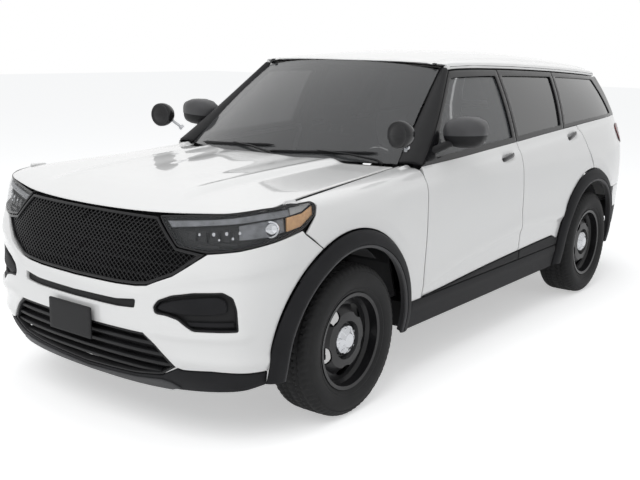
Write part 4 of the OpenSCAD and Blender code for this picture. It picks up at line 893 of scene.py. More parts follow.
def sides():
    lamp_edge = [(-2085, LAMP_TOP_Z + 6), (-1990, LAMP_TOP_Z + 6), (-1925, LAMP_TOP_Z + 7), (-1899, LAMP_TOP_Z),
                 (-1892, 1089), (-1912, 1041), (-1983, 968)]
    a_front = math.degrees(math.acos((FRONT_AXLE + 1865) / FLARE_EDGE))
    arch = ring(FRONT_AXLE, FLARE_EDGE, a_front, 173, 44)
    back = shut_a(FENDER_FOOT) - HALF_GAP
    rise = np.linspace(FENDER_FOOT, 1150, 20)
    top_y = np.linspace(-962, -2085, 40)
    outline = strip(lamp_edge + arch, run(np.linspace(FRONT_AXLE + FLARE_EDGE, back, 5), FENDER_FOOT),
                    run(shut_a(rise) - HALF_GAP, rise) + [(-962, fold_start(-962.0) + FOLD)],
                    run(top_y, fold_start(top_y) + FOLD))
    pair("fender_skin", shell(fender, SIDE_OUT, [outline], 12, 14, 3.5, 3, fender_form), "white_paint", "car_body",
         "fender_{}", 40)
    ys = np.linspace(-2080, -1030, 50)
    flange = tube(hood_side(ys) + np.array([3, 0, -13]), 13, 3, n=8)
    pair("hood_seam_flange", flange, "white_paint")
    # quarter panel: paint below the belt, black round the rear side window
    start = ring(REAR_AXLE, FLARE_EDGE, MEET_A + 1.2, FOOT_A, 30)
    end = CORNER_Y + CORNER
    foot = run(np.linspace(start[-1][0], end, 24), QUARTER_FOOT)
    rise = np.linspace(QUARTER_FOOT, 1277, 16)
    top = np.linspace(end, line_c(1240) + HALF_GAP, 40)
    down = np.linspace(1240, start[0][1] + 6, 12)
    outline = strip(start + foot, run(end + 0 * rise, rise), run(top, belt_z(np.minimum(top, CORNER_Y))),
                    run(line_c(down) + HALF_GAP, down))
    pair("quarter_skin", on_quarter([outline], 22, 14, 3.5, 6, rear_arch_form), "white_paint", "car_body",
         "quarter_panel_{}", 40)
    ts = np.linspace(0.0, FRAME_T, 14)
    rim = glasshouse_loop(UPPER_C(ts) + HALF_GAP, end + 0 * ts, ts, 30, 0.004)
    ts = np.linspace(*WINDOW_T, 12)
    hole = glasshouse_loop(UPPER_C(ts) + HALF_GAP + 44, mix(2052, 1985, (ts - WINDOW_T[0]) / 0.83), ts, 30)
    hole = rounded(hole, 8, 3)
    pair("quarter_frame", on_quarter([rim, hole], 24, 14, 3, 6), "gloss_black")
    pair("quarter_pane", on_quarter([inset(hole, 0.6)], 5, 20, 0, 0, sink=7), "privacy_glass",
         replaces="quarter_glass")
    # painted rail between the door frames and the roof
    rail = lambda y, w: xyz(along(RAIL_X, y) + 1 - 10 * (w / 30) ** 2, y, along(RAIL_Z, y) + 2 + w)
    ys = np.linspace(-340, 2112, 60)
    pair("roof_rail", shell(rail, SIDE_OUT, [band(ys, 0, 31)], 26, 16, 3, 2), "white_paint")


A_TOP, A_BASE = np.array([650, -345, 1668.0]), np.array([775, -985, 1168.0])


def pillars():
    """Front pillars, between the windscreen and the front doors."""
    def pillar(u, v):
        t, c = v / 820, u / 60
        y = UPPER_A(t) - HALF_GAP
        w = xyz(*(mix(A_BASE, A_TOP, t[..., None]) + [3.5, 5.4, 0]).T)
        g = side(y, glasshouse_z(y, t))
        p = mix(w, g, c[..., None])
        return p + (4 * c * (1 - c))[..., None] * np.array([13, -13, 11])
    loop = np.array([(0.0, 16), (60, 16), (60, 815), (0, 815)])
    pair("front_pillar", shell(pillar, (0.6, -0.6, 0.5), [loop], 14, 12, 3, 2), "black_plastic", sharp=50)


def roof_and_glass():
    u = np.linspace(-650, 650, 40)
    x = u / 650 * 646
    y = np.linspace(header_y(646) + 6, ROOF_END - 135 * (632 / 790) ** 4, 70)
    loop = strip(run(u, header_y(x) + 6), run(650 + 0 * y, y),
                 run(u[::-1], ROOF_END - 135 * (np.abs(u[::-1]) * 632 / 650 / 790) ** 4),
                 run(-650 + 0 * y, y[::-1]))
    add("roof_skin", on_roof([loop], 14, 22, 5, 14, roof_form), "white_paint", "car_body", "roof_panel")
    lining = strip(run(u * 0.93, header_y(x) + 30), [], run(u[::-1] * 0.93, 2060 + 0 * u), [])
    add("headlining", on_roof([lining], 8, 40, 2, 2, sink=24), "headlining")
    for word, sign in SIDES.items():
        ys = np.linspace(-366, 2040, 60)
        edge = [(sign * 573, a) for a in ys] + [(sign * 595, a) for a in ys[::-1]]
        add("roof_moulding_" + word, on_roof([np.array(edge, float)], 6, 16, 2, 1, sink=1.5), "black_plastic")
    u, v = np.linspace(-700, 700, 30), np.linspace(9, 886, 20)
    pane = strip(run(u, 9), run(700 + 0 * v, v), run(u[::-1], 886), run(-700 + 0 * v, v[::-1]))
    add("windscreen_pane", on_screen([pane], 5, 26, 0), "screen_glass", "car_body", "windscreen")
    # dark printed border behind the windscreen's edge
    hole = rounded([(-652, 60), (652, 60), (640, 838), (-640, 838)], 60, 8)
    add("windscreen_border", on_screen([pane, hole], 2, 24, 0, sink=6), "gloss_black")


def closures():
    """Hood and tailgate, each with its inner panel."""
    loop = rounded([(-HOOD_HALF, 0, 40), (HOOD_HALF, 0, 40), (HOOD_HALF, HOOD_LONG, 10), (-HOOD_HALF, HOOD_LONG, 10)])
    add("hood_skin", on_hood([loop], 9, 18, 4, 5, hood_form), "white_paint", "hood_lid", "hood", 40)
    frame_loop = plate(700, 70, 1050, 60)
    pockets = [rounded([(c - 130, 170), (c + 130, 170), (c + 110, 940), (c - 110, 940)],
                       50) for c in (-480, -160, 160, 480)]
    add("hood_inner_frame", on_hood([frame_loop] + pockets, 12, 34, 3, 4, sink=10), "white_paint", "hood_lid")
    add("hood_liner", on_hood([plate(660, 120, 1000, 60)], 4, 50, 1, 1, sink=10), "cabin", "hood_lid")
    edge = 692
    loop = rounded([(-edge, 749, 30), (edge, 749, 30), (edge, 1290), (edge, 1696, 26), (-edge, 1696, 26),
                    (-edge, 1290)])
    window = plate(616, 1330, 1590, 36, 8)
    add("tailgate_skin", on_gate([loop, window], 42, 18, 4, 22, gate_form), "white_paint", "tailgate", "liftgate", 40)
    add("tailgate_pane", on_gate([inset(window, 1)], 5, 24, 0, sink=7), "privacy_glass", "tailgate", "liftgate_glass")
    border = plate(646, 1306, 1612, 44, 8)
    add("tailgate_glass_frame", on_gate([border, window], 5, 22, 2, 1, sink=-2.5), "gloss_black", "tailgate")
    add("tailgate_trim", on_gate([plate(610, 800, 1290, 40)], 22, 40, 3, 8, sink=44), "cabin", "tailgate")
    grip = plate(150, 1030, 1054, 8)
    add("tailgate_handle", on_gate([grip], 12, 10, 3, 2, sink=-9), "black_plastic", "tailgate")
    pin = JOINT["tailgate_hinge"]
    knuckles = [tube([(x - 10, pin[1], pin[2]), (x + 10, pin[1], pin[2])], 8, n=24) for x in (-250, 250)]
    add("tailgate_knuckles", join(*knuckles), "chassis_black", "tailgate")
    # lamps on the corners
    lens = rounded([(2068, 1188), (2128, 1084), (2230, 1050), (2362, 1046), (2362, 1206), (2110, 1212)], 22, 5)
    on_corner = partial(shell, quarter, (0.7, 0.7, 0))
    pair("tail_lamp_lens", on_corner([lens], 7, 12, 3, 1, sink=-9), "red_lens", replaces="tail_lamps")
    pair("tail_lamp_base", on_corner([inset(lens, -5)], 4, 14, 1.5, 0, sink=-3), "gloss_black")


def rear_end():
    def half(a_low, z_low, z_high):
        """The rear bumper's outline between two heights, its ends round the wheel mouldings."""
        zs = np.linspace(z_low, z_high, 20)
        ends = TAIL - np.maximum(1968, REAR_AXLE + np.sqrt(np.maximum(0, FLARE_EDGE**2 - (zs - TYRE_R) ** 2)))
        s = np.linspace(-ends[0], ends[0], 60)
        top = np.linspace(ends[-1], -ends[-1], 60)
        return strip(run(s, a_low(s)), run(ends, zs), run(top, z_high + 0 * top), run(-ends[::-1], zs[::-1]))
    add("rear_bumper_skin", on_rear([half(lambda s: 562 + 0 * s, 562, 737)], 22, 16, 4, 6), "bumper_paint",
        "car_body", "rear_bumper")
    add("rear_bumper_lower", on_rear([half(lambda s: 405 + 0 * s, 405, 557)], 22, 18, 4, 6, sink=3), "cladding")
    pad = plate(520, 716, 728, 5)
    add("rear_bumper_pad", on_rear([pad], 4, 16, 1.5, 0, sink=-2), "cladding")


# ---------------------------------------------------------------- mouldings
ARCH_MID = 508            # middle radius of an arch moulding


def mouldings():
    for end, axle in (("front", FRONT_AXLE), ("rear", REAR_AXLE)):
        def arch(u, v, axle=axle):
            """u runs along the arch at its middle radius, v out from the wheel opening."""
            a = np.clip(u / ARCH_MID, 0, math.pi)
            r = ARCH_R + v
            drop = np.maximum(0, np.maximum(-u, u - ARCH_MID * math.pi))
            y, z = axle - r * np.cos(a), TYRE_R + r * np.sin(a) - drop
            x = np.minimum(962, side(y, np.maximum(z, 300))[..., 0])
            return xyz(x + along([[-5, 20], [0, 30], [12, 40], [55, 35], [80, 22], [92, 6]], v), y, z)
        u = np.linspace(-76, ARCH_MID * math.pi + 76, 90)
        pair(end + "_arch_moulding", shell(arch, SIDE_OUT, [band(u, 20, 91)], 34, 13, 4, 4), "cladding", "car_body",
             "side_cladding", 50)
        pair(end + "_arch_lip", shell(arch, SIDE_OUT, [band(u, 0, 19)], 46, 13, 5, 2), "cladding_light", sharp=50)
    low, high = FRONT_AXLE + FLARE_R + 5, REAR_AXLE - FLARE_R - 5
    y = np.linspace(low, high, 60)
    loop = band(y, 293, 451)
    rocker = lambda yy, zz: 4 * np.exp(-((zz - 420) / 22) ** 2)
    pair("rocker_moulding", on_side([loop], 22, 15, 5, 4, rocker, sink=-7), "cladding", sharp=50)


# ---------------------------------------------------------------- front end
def mirror_half(points):
    """A symmetric loop from its right half, given from the bottom centre round to the top centre."""
    return np.array(list(points) + [(-s, z) for s, z in reversed(points) if s > 0.5], float)


PLAN_AXLE = NOSE + FRONT_AXLE     # the front axle along the plan, from the nose
LAMP = [(473, 1047), (596, 924), (754, 908), (906, 927), (1066, 955), (1233, 988), (1322, 1045), (1338, 1089),
        (1307, 1107), (1160, 1105), (1029, 1099), (759, 1069)]
GRILLE = [(0, 731), (274, 734), (390, 740), (454, 749), (591, 805), (735, 903), (592, 920), (465, 1040), (440, 1041),
          (0, 1040)]
LOW_SLOT = [(0, 626), (286, 628), (396, 637), (399, 677), (284, 662), (0, 658)]
FOG = [(509, 627), (568, 625), (624, 613), (660, 587), (695, 568), (898, 569), (890, 673), (873, 723), (827, 746),
       (691, 737), (590, 718), (520, 688), (497, 655)]
INTAKE = [(0, 285), (70, 289), (341, 305), (515, 334), (594, 384), (500, 483), (441, 526), (0, 526)]

def arc_front(a0, a1, n=20):
    return [(PLAN_AXLE + y - FRONT_AXLE, z) for y, z in ring(FRONT_AXLE, FLARE_EDGE, a0, a1, n)]


def bars(name, heights, widths, count, half, *size):
    """Level bars across an opening, whose half width is given by height."""
    for k, z in enumerate(heights):
        width = float(np.interp(z, *widths))
        bar = band(np.linspace(-width, width, count), z - half, z + half)
        add(f"{name}_{k}", on_front([bar], *size, sink=16), "black_plastic")


def front_end():
    a_end = math.degrees(math.acos((FRONT_AXLE + 1868) / FLARE_EDGE))
    half = [(0, 529), (442, 529), (502, 486), (602, 389), (640, 381), (771, 386),
            (956, 371)] + arc_front(-1.2, a_end, 30) \
        + [(1252, 963), (1233, 983), (1066, 950), (906, 922), (754, 903), (591, 798), (454, 742), (390, 733),
           (274, 727), (0, 724)]
    holes = [mirror_half(LOW_SLOT), np.array(FOG, float), np.array(FOG, float) * [-1, 1]]
    rounded_holes = [rounded(hole, 12, 4) for hole in holes]
    add("front_bumper_skin", on_front([mirror_half(half)] + rounded_holes, 22, 14, 4.5, 4, bumper_form),
        "bumper_paint", "car_body", "front_bumper", 45)
    # upper grille: a dark back, a diagonal mesh and a rim
    opening = mirror_half(GRILLE)
    add("grille_back", on_front([opening], 8, 26, 2, 1, sink=42), "black_plastic", "car_body", "grille")
    add("grille_rim", on_front([opening, inset(resample(opening, 16), 13)], 34, 12, 3.5, 1, sink=2), "gloss_black")
    add("grille_mesh", lattice(opening, 18, 40, 2.3, 9), "gloss_black")
    bars("grille_bar", (786, 843, 900, 957, 1005), ([731, 805, 903, 920, 1040], [430, 585, 715, 585, 460]),
         50, 3.5, 14, 24, 1.5, 0)
    # openings lower down
    add("slot_back", on_front([inset(resample(mirror_half(LOW_SLOT), 16), -6)], 8, 20, 2, 1, sink=20),
        "black_plastic")
    intake = mirror_half(INTAKE)
    add("intake_back", on_front([inset(resample(intake, 20), -4)], 8, 24, 2, 1, sink=46), "black_plastic")
    bars("intake_bar", (336, 384, 432, 480), ([305, 334, 384, 483, 526], [341, 500, 590, 498, 440]),
         40, 9, 30, 20, 4, 2)
    add("intake_rim", on_front([inset(resample(intake, 16), -1), inset(resample(intake, 16), 9)], 32, 14, 3, 1,
                               sink=6), "black_plastic")
    chin = [(0, 246), (328, 249), (548, 257), (771, 268), (956, 280)] + arc_front(-8.5, -1.8, 5) \
        + [(956, 365), (771, 380), (640, 375), (604, 378), (515, 329), (341, 300), (70, 284), (0, 280)]
    add("chin", on_front([mirror_half(chin)], 24, 15, 5, 4, sink=2), "cladding", sharp=45)
    lip = [(0, 247), (328, 250), (548, 258), (600, 276), (560, 300), (505, 309), (341, 288), (70, 272), (0, 268)]
    add("chin_lip", on_front([mirror_half(lip)], 8, 12, 4, 1, sink=-5), "cladding_light", sharp=50)
    add("plate_bracket", shell(plane_y(-2552), FRONT_OUT, [plate(152, 450, 602, 10)], 8, 20, 3, 1), "black_plastic")
    stays = [rounded_box((s - 20, -2546, 500), (s + 20, -2512, 560), 4) for s in (-90, 90)]
    add("plate_stays", join(*stays), "black_plastic")
    headlamps()
    fog_pockets()


def bumper_form(s, z):
    """A shelf above the slot, a soft ridge out to the wheels and a sunk field round each fog pocket."""
    a = np.abs(s)
    shelf = 7 * np.exp(-((z - 700) / 18) ** 2) * (1 - ease((a - 380) / 90))
    ridge_z = along([[440, 735], [700, 800], [1000, 842], [1300, 880]], a)
    ridge = 13 * crest(z - ridge_z, 70, 30) * ease((a - 430) / 90) * ease((1290 - a) / 180)
    low = 9 * np.exp(-(((z - 430 + 0.04 * (a - 600)) / 30) ** 2)) * ease((a - 560) / 90)
    brow = 9 * np.exp(-((z - 545) / 20) ** 2) * ease((a - 430) / 90) * ease((980 - a) / 60)
    return shelf + ridge + low + brow


def lattice(outline, pitch, lean, half, deep):
    """Crossed bars, pitch apart and leaning either way, cut off at an outline on the front's surface."""
    area_loop = inset(resample(np.asarray(outline, float), 20), 6)
    if area(area_loop) < 0:
        area_loop = area_loop[::-1]
    low, high = area_loop.min(0), area_loop.max(0)
    parts = []
    for sign in (-1, 1):
        d = np.array([math.cos(math.radians(lean)), sign * math.sin(math.radians(lean))])
        n = np.array([-d[1], d[0]])
        reach = np.abs(n) @ (high - low) / 2
        centre = (low + high) / 2
        for k in np.arange(-reach, reach, pitch):
            t = np.arange(-900, 900, 7.0)
            points = centre + n * k + t[:, None] * d
            keep = inside(points, [area_loop])
            starts = np.flatnonzero(keep & ~np.roll(keep, 1))
            ends = np.flatnonzero(keep & ~np.roll(keep, -1))
            for a, b in zip(starts, ends):
                if b - a < 1:
                    continue
                uv = points[np.unique(np.linspace(a, b, max(2, (b - a) // 7 + 2)).astype(int))]
                section = ((-half, 13), (-half * 0.4, 11), (half * 0.4, 11),
                           (half, 13), (half, 13 + deep), (-half, 13 + deep))
                top = [lift(front, uv + n * o, z, FRONT_OUT) for o, z in section]
                m = len(uv)
                verts = np.stack(top, 1).reshape(-1, 3)
                faces = grid_faces(m, 6, wrap_columns=True) + [tuple(range(5, -1, -1)),
                                                               tuple(range((m - 1) * 6, m * 6))]
                c = verts[list(faces[0])]
                if np.cross(c[1] - c[0], c[2] - c[1]) @ (c.mean(0) - verts[:12].mean(0)) < 0:
                    faces = [f[::-1] for f in faces]
                parts.append((verts, faces))
    return join(*parts)


def headlamps():
    def put(name, part, look, replaces=(), sharp=45):
        pair("headlamp_" + name, part, look, "car_body", replaces, sharp)
    soft = rounded(LAMP, 16, 4)
    inner = inset(resample(soft, 16), -9 if area(soft) < 0 else 9)
    put("rim", on_front([soft, inner], 40, 13, 3, 0), "gloss_black")
    put("lens", on_front([inner], 3, 16, 1.2, 0, sink=0.5), "clear_lens", "headlamps")
    put("back", on_front([inner], 6, 26, 1, 0, sink=44), "lamp_dark")
    for name, look, size, sink, loop in (
            ("strip", "lamp_grey", (14, 13, 3, 2), 9,
             [(520, 1030), (760, 1050), (1029, 1080), (1165, 1087), (1165, 1058), (1029, 1052), (760, 1025),
              (548, 1004)]),
            ("field", "lamp_grey", (12, 13, 3, 2), 22,
             [(900, 968), (1066, 975), (1140, 990), (1140, 1050), (1029, 1046), (900, 1032)]),
            ("marker", "amber", (12, 12, 3, 2), 9,
             [(1145, 990), (1229, 1002), (1308, 1046), (1316, 1086), (1246, 1060), (1150, 1052)]),
            ("corner", "lamp_chip", (12, 12, 2, 1), 9,
             [(1174, 1060), (1243, 1068), (1306, 1093), (1296, 1098), (1174, 1092)])):
        put(name, on_front([loop], *size, sink=sink), look)
    blocks = [rounded([(s - w, z - h), (s + w, z - h), (s + w * 0.8, z + h), (s - w * 0.8, z + h)], 7)
              for s, z, w, h in ((655, 975, 26, 20), (715, 975, 22, 24), (775, 978, 24, 26), (835, 984, 22, 26),
                                 (885, 990, 18, 24), (745, 935, 60, 8), (850, 948, 46, 8))]
    put("modules", join(*[on_front([b], 16, 9, 3, 2, sink=22) for b in blocks]), "lamp_dark")
    chips = [circle(s, z, r, 14) for s, z, r in ((700, 985, 7), (772, 990, 9), (800, 968, 6), (836, 996, 9),
                                                 (868, 976, 7), (905, 1000, 8))]
    put("chips", join(*[on_front([c], 8, 8, 2, 0, sink=17) for c in chips]), "lamp_chrome", sharp=32)
    ball = disc([[0, 20], [10, 19], [20, 15], [28, 8], [31, 0], [37, 1], [40, -4], [40, -20], [0, -20]], 40)
    place = lift(front, np.array([[1062.0, 1008.0]]), 24, FRONT_OUT)[0]
    put("projector", moved(ball, place, Matrix.Rotation(math.radians(-52), 3, "Z")), "lamp_chrome", sharp=32)


def fog_pockets():
    pocket = rounded(FOG, 12, 4)
    grown = inset(resample(pocket, 14), -7)
    lip = rounded([(512, 648), (560, 640), (640, 636), (760, 640), (842, 650), (850, 680), (838, 712), (800, 726),
                   (700, 716), (600, 698), (530, 674)], 18, 5)
    rib = rounded([(676, 586), (880, 588), (878, 610), (660, 606)], 6)
    for name, loops, depth, step, edge, sink, look in (
            ("back", [grown], 8, 18, 2, 30, "black_plastic"),
            ("wall", [inset(grown, 5), inset(grown, 15)], 26, 12, 3, 6, "black_plastic"),
            ("lip", [lip], 22, 12, 9, 9, "cladding"), ("rib", [rib], 16, 10, 3, 16, "cladding")):
        back = 2 if len(loops) == 1 else 0
        pair("fog_pocket_" + name, on_front(loops, depth, step, edge, back, sink=sink), look, sharp=45)


# ---------------------------------------------------------------- fittings
MIRROR_Y, MIRROR_ROUND = -652, 40      # the mirror's middle plane, and the points round its shell


def fittings():
    # mirrors: positions along the shell, and its half sizes there
    xs = np.array([876, 884, 908, 948, 1000, 1052, 1090, 1113, 1123, 1126])
    cy = np.array([-652, -652, -652, -653, -655, -655, -653, -648, -645, -645])
    hy = np.array([6, 34, 66, 86, 94, 90, 78, 56, 30, 5])
    cz = np.array([1318, 1318, 1322, 1328, 1332, 1333, 1330, 1325, 1322, 1322])
    hz = np.array([5, 36, 62, 78, 84, 82, 72, 52, 28, 4])
    points = np.stack([xs, cy, cz], -1)
    verts, faces = tube(points, hy, hz, n=MIRROR_ROUND)
    # flat back for the glass, and a squarer section
    for k, (mid, half) in ((1, (cy, hy)), (2, (cz, hz))):
        mid, half = np.repeat(mid, MIRROR_ROUND), np.repeat(half, MIRROR_ROUND)
        q = (verts[:len(mid), k] - mid) / half
        verts[:len(mid), k] = mid + half * np.sign(q) * np.abs(q) ** 0.66
    rel = verts[:, 1] - MIRROR_Y
    verts[:, 1] = MIRROR_Y + np.where(rel > 0, np.minimum(rel, 44 + 0.12 * rel), rel)
    pair("mirror_shell", (verts, faces), "black_plastic", "front_door_{}_leaf", "mirror_{}", 50)
    # A lighter grey cap over the mirror's top: a painted highlight for the light falling on it.
    middle = [1013, MIRROR_Y, 1328]
    cap = (verts - middle) * [1.012, 1.03, 1.03] + middle
    cap[:, 2] = np.maximum(cap[:, 2], 1312 + 0.06 * (cap[:, 0] - 905))
    pair("mirror_cap", (cap, faces), "mirror_grey", "front_door_{}_leaf", None, 50)
    glass = rounded([(912, 1276), (1094, 1268), (1108, 1330), (1088, 1392), (940, 1394), (908, 1356)], 30, 6)
    pair("mirror_glass", shell(plane_y(-599), (0, 1, 0), [glass], 5, 20, 1.5, 0), "mirror_silver",
         "front_door_{}_leaf")
    arm = tube([(862, -800, 1226), (886, -780, 1238), (920, -740, 1258), (955, -700, 1280), (985, -680, 1300)],
               [26, 30, 30, 28, 24], [16, 20, 20, 20, 18], n=20)
    pair("mirror_arm", arm, "black_plastic", "front_door_{}_leaf")
    # spotlights on the front pillars
    head = disc([[0, -70], [24, -66], [46, -54], [62, -34], [70, -10], [72, 8], [71, 30], [66, 34], [60, 30],
                 [40, 37], [18, 41], [0, 42]], 48)
    face = Matrix.Rotation(math.radians(-100), 3, "Z")
    lamp = moved(head, (882, -1118, 1343), face)
    pair("spotlight_head", lamp, "gloss_black", sharp=60)
    rod = tube([(846, -1003, 1262), (866, -1030, 1287), (880, -1056, 1312), (884, -1072, 1326)], [9, 9, 10, 10], n=20)
    clamp = tube([(838, -996, 1252), (848, -1006, 1266)], 17, n=20)
    pair("spotlight_bracket", join(rod, clamp), "chrome", replaces="spotlights")
    # wipers
    def on_glass(u, v, off=10):
        return lift(windscreen, np.array([[u, v]], float), -off, SCREEN_OUT)[0]
    for k, (u0, u1) in enumerate(((-560, 40), (20, 600))):
        blade = tube([on_glass(u, v, 7) for u, v in zip(np.linspace(u0, u1, 14), np.linspace(30, 78, 14))],
                     [2] + [6] * 12 + [2], [2] + [8] * 12 + [2], n=10)
        arm = tube([on_glass(u, v, o) for u, v, o in ((u1 + 40, -6, 8), (u1 + 10, 12, 20), (u1 - 130, 42, 22),
                                                      (u1 - 290, 60, 14))], [10, 9, 7, 6], [8, 7, 5, 4], n=10)
        add(f"wiper_{k}", join(blade, arm), "black_plastic")


# ---------------------------------------------------------------- wheels
RIM_R, TYRE_HALF = 241, 127.5
TREAD_BLOCKS = 68         # round the tyre
NUT_RING = 57.15          # radius of the nuts' circle


def tyre_part():
    h, r = TYRE_HALF, TYRE_R
    half = [[r, 0], [r, 12], [r, 24], [r, 34], [r, 46], [r - 0.5, 58], [r - 1, 70], [r - 2, 80], [r - 3.5, 88],
            [r - 6, 96], [r - 10, 104], [r - 17, 111], [r - 25, 116],
            [r - 31, 119.5], [r - 33, 117.5], [r - 40, 121], [r - 52, 125], [r - 64, h], [r - 78, h - 1],
            [r - 92, h - 3], [RIM_R + 32, h - 7], [RIM_R + 27, h - 10],
            [RIM_R + 22, h - 9], [RIM_R + 12, h - 14], [RIM_R + 4, h - 22], [RIM_R - 8, h - 26], [RIM_R - 11, h - 40],
            [RIM_R - 6, h - 48], [r - 70, h - 24], [r - 30, h - 44], [r - 18, 20]]
    profile = half + [[p[0], -p[1]] for p in reversed(half) if p[1] > 0]

    def tread(angle, points):
        rr, x = points[:, 0], points[:, 1]
        on_top = (rr > r - 20) & (np.abs(x) < 112)
        ribs = np.digitize(np.abs(x), [18, 52, 82])
        grooves = (np.abs(np.abs(x) - 24) < 1) | (np.abs(np.abs(x) - 58) < 1)
        turn = angle * TREAD_BLOCKS / (2 * math.pi)
        phase = turn + ribs * 0.37 + x * 0.012 * np.sign(x)
        cut = np.mod(phase, 1) < 0.2
        deep = np.where(grooves, 8.0, np.where(cut & (np.abs(x) > 8), 5.0, 0.0))
        shoulder = (rr > r - 34) & (rr <= r - 8)
        deep = np.where(shoulder & (np.mod(turn, 1) < 0.25), 3.0, np.where(on_top, deep, 0))
        return -deep, 0
    return lathe(profile, 272, tread)


def wheels():
    tyre = tyre_part()
    face = 55.5               # the wheel disc's outer face, from the middle of the wheel
    cap_profile = [[0, face + 42], [18, face + 41.5], [34, face + 40], [38, face + 36], [46, face + 34],
                   [60, face + 30], [70, face + 22], [76, face + 10], [79, face + 2], [79, face - 1], [0, face - 1]]

    def cap_part():
        verts, faces = disc(cap_profile, 80)
        a = np.arctan2(verts[:, 2], verts[:, 1])
        r = np.hypot(verts[:, 1], verts[:, 2])
        dent = np.exp(-(((r - 57) / 12) ** 4)) * (np.cos(5 * a) > 0.25)
        verts[:, 0] -= 9 * dent
        return verts, faces
    cap = cap_part()
    valve = tube([(52, 0, 190), (62, 0, 196), (76, 0, 203)], [5, 4, 4], n=12)
    nuts = []
    for k in range(5):
        a = 2 * math.pi * k / 5 + math.pi / 5
        y, z = NUT_RING * math.cos(a), NUT_RING * math.sin(a)
        nuts.append(moved(disc([[0, face + 30], [8, face + 29], [11, face + 25], [11.5, face + 2], [0, face + 2]], 6),
                          (0, y, z)))
    for end, axle in (("front", FRONT_AXLE), ("rear", REAR_AXLE)):
        for name, part, look, covers in (
                ("tyre_tread", tyre, "rubber", f"tyre_{end}_{{}}"), ("hub_cap", cap, "chrome", ()),
                ("wheel_nuts", join(*nuts), "chrome", ()), ("valve", valve, "black_plastic", ())):
            pair(f"{name}_{end}", moved(part, (WHEEL_X, axle, TYRE_R)), look, end + "_{}_roadwheel", covers, 28)


# ---------------------------------------------------------------- seats
def cushion(low, high, radius, channels=(), crown=14, pull=10, axis=2):
    """A padded form: rounded, crowned on its faces, drawn in at the corners, with sewn channels across it."""
    low, high = np.array(low, float), np.array(high, float)
    part = rounded_box(low, high, radius, 5, dent=True)
    verts, faces = part
    centre, half = (low + high) / 2, (high - low) / 2
    q = (verts - centre) / half
    bulge = (1 - q[:, 0] ** 2) * (1 - q[:, 1 if axis == 2 else 2] ** 2)
    verts[:, axis] += crown * bulge * np.sign(q[:, axis]) * (np.abs(q[:, axis]) > 0.55)
    for k in range(3):
        others = [i for i in range(3) if i != k]
        ends = (1 - np.abs(q[:, others[0]]) ** 6) * (1 - np.abs(q[:, others[1]]) ** 6)
        verts[:, k] -= np.sign(q[:, k]) * pull * (1 - ends) * np.abs(q[:, k]) ** 3 * 0.6
    for k, where in channels:
        d = (q[:, k] - where) * half[k]
        verts[:, axis] -= 9 * np.exp(-(d / 9) ** 2) * np.sign(q[:, axis]) * (np.abs(q[:, axis]) > 0.5)
    return verts, faces


def padded(name, part, replaces=()):
    obj = add(name, part, "seat_fabric", "car_body", replaces, 60)
    smooth = obj.modifiers.new("soften", "SUBSURF")
    smooth.levels = smooth.render_levels = 1


def tilt_back(part, pivot, degrees):
    turn = np.array(Matrix.Rotation(math.radians(degrees), 3, "X"))
    v = (part[0] - np.array(pivot, float)) @ turn.T + np.array(pivot, float)
    return v, part[1]


SEAT_X, SEAT_Y = 370, -330             # the middle of the front seats


def seats():
    for word, sign in SIDES.items():
        x, y = sign * SEAT_X, SEAT_Y
        base = cushion((x - 235, y - 300, 512), (x + 235, y + 215, 655), 46,
                       ((0, -0.62), (0, 0.62), (1, 0.1), (1, -0.45)), 12)
        padded("front_seat_cushion_" + word, base, "front_seats")
        back = cushion((x - 222, y + 185, 640), (x + 222, y + 300, 1205), 46,
                       ((0, -0.6), (0, 0.6), (2, 0.25), (2, -0.3)), 12, 10, 1)
        padded("front_seat_back_" + word, tilt_back(back, (x, y + 240, 640), -10))
        rest = cushion((x - 112, y + 330, 1240), (x + 112, y + 405, 1400), 34, ((2, 0.0),), 8, 6, 1)
        padded("front_headrest_" + word, rest)
        posts = [tube([(x + o, y + 345, 1180), (x + o, y + 362, 1262)], 7, n=16, up=(0, 1, 0)) for o in (-50, 50)]
        add("front_headrest_posts_" + word, join(*posts), "dull_steel")
        stand = rounded_box((x - 190, y - 240, 346), (x + 190, y + 200, 515), 14)
        add("front_seat_base_" + word, stand, "cabin")
    for k, (x0, x1) in enumerate(((-598, -205), (-198, 198), (205, 598))):
        padded(f"rear_seat_cushion_{k}", cushion((x0, 545, 500), (x1, 925, 640), 44, ((1, 0.2),), 10), "rear_seat")
        back = cushion((x0, 900, 600), (x1, 1000, 1205), 40, ((2, 0.3), (2, -0.3)), 10, 10, 1)
        padded(f"rear_seat_back_{k}", tilt_back(back, (0, 950, 600), -18))
    add("rear_seat_base", rounded_box((-590, 560, 347), (590, 915, 505), 14), "cabin")


# ---------------------------------------------------------------- camera, light, floor
CAMERA_LENS, CAMERA_PLACE = 50.69, (3.354, -5.059, 1.782)
CAMERA_TURN = 37.13, 12.17, 0.96    # round the car from its front, up, and roll, in degrees
FLOOR_GLOW, SKY = 0.46, 0.52        # added to the floor where it is seen, and the light of the surroundings


def seen_by(tree, *rays):
    """An output that is 1 for these kinds of ray and 0 for the others."""
    path = node(tree, "LightPath")
    seen = path.outputs[f"Is {rays[0]} Ray"]
    for ray in rays[1:]:
        either = node(tree, "Math", "MAXIMUM")
        wire(tree, (seen, either.inputs[0]), (path.outputs[f"Is {ray} Ray"], either.inputs[1]))
        seen = either.outputs[0]
    return seen


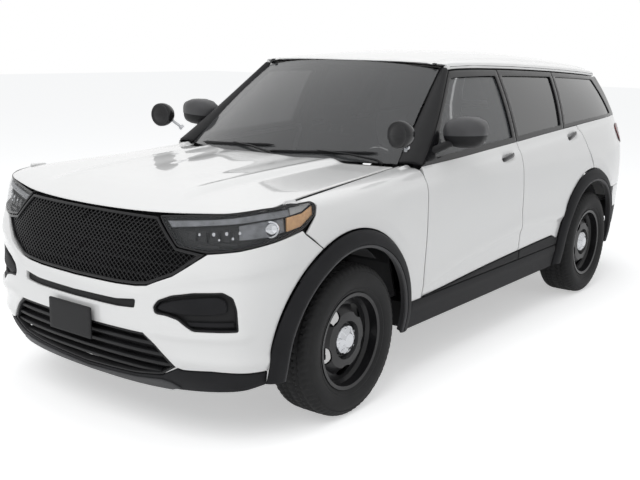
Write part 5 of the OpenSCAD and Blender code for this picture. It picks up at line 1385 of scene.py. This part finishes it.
def studio():
    camera = new_object("camera", bpy.data.cameras.new("camera"))
    camera.data.lens, camera.data.sensor_width = CAMERA_LENS, 36
    az, el, roll = (math.radians(a) for a in CAMERA_TURN)
    back = Vector((math.sin(az) * math.cos(el), -math.cos(az) * math.cos(el), math.sin(el)))
    right = (-back).cross(Vector((0, 0, 1))).normalized()
    up = right.cross(-back)
    right, up = math.cos(roll) * right + math.sin(roll) * up, -math.sin(roll) * right + math.cos(roll) * up
    turn = Matrix((right, up, back)).transposed()
    camera.matrix_world = Matrix.Translation(CAMERA_PLACE) @ turn.to_4x4()
    bpy.context.scene.camera = camera

    mesh = bpy.data.meshes.new("floor")
    mesh.from_pydata([(-40, -40, 0), (40, -40, 0), (40, 40, 0), (-40, 40, 0)], [], [(0, 1, 2, 3)])
    floor = new_object("floor", mesh)
    ground = bpy.data.materials.new("floor")
    ground.use_nodes = True
    tree = ground.node_tree
    tree.nodes.remove(tree.nodes["Principled BSDF"])
    diffuse = node(tree, "BsdfDiffuse", Color=(0.92, 0.92, 0.92, 1))
    glow, total, scale = node(tree, "Emission"), node(tree, "AddShader"), node(tree, "Math", "MULTIPLY")
    scale.inputs[1].default_value = FLOOR_GLOW
    wire(tree, (seen_by(tree, "Camera", "Glossy"), scale.inputs[0]), (scale.outputs[0], glow.inputs["Strength"]),
         (diffuse.outputs[0], total.inputs[0]), (glow.outputs[0], total.inputs[1]),
         (total.outputs[0], tree.nodes["Material Output"].inputs["Surface"]))
    floor.data.materials.append(ground)

    world = bpy.data.worlds.new("studio")
    world.use_nodes = True
    tree = world.node_tree
    soft, white = tree.nodes["Background"], node(tree, "Background", Color=(1, 1, 1, 1), Strength=1.0)
    soft.inputs["Color"].default_value, soft.inputs["Strength"].default_value = (0.97, 0.985, 1, 1), SKY
    choose = node(tree, "MixShader")
    wire(tree, (seen_by(tree, "Camera", "Glossy", "Transmission"), choose.inputs[0]),
         (soft.outputs[0], choose.inputs[1]), (white.outputs[0], choose.inputs[2]),
         (choose.outputs[0], tree.nodes["World Output"].inputs["Surface"]))
    bpy.context.scene.world = world
    for name, place, target, size, power in (("key", (1.5, -6.5, 6.5), (0.3, -0.8, 0.6), 5, 230),
                                             ("top", (0, 0.5, 7), (0, 0.2, 0), 6, 110)):
        lamp = bpy.data.lights.new(name, "AREA")
        lamp.size, lamp.energy = size, power
        obj = new_object(name, lamp)
        obj.visible_glossy = False
        obj.location = place
        obj.rotation_euler = (Vector(target) - Vector(place)).to_track_quat("-Z", "Y").to_euler()
    bpy.context.scene.view_settings.view_transform = "Standard"


studio()
doors()
sides()
pillars()
roof_and_glass()
closures()
rear_end()
mouldings()
front_end()
fittings()
wheels()
seats()
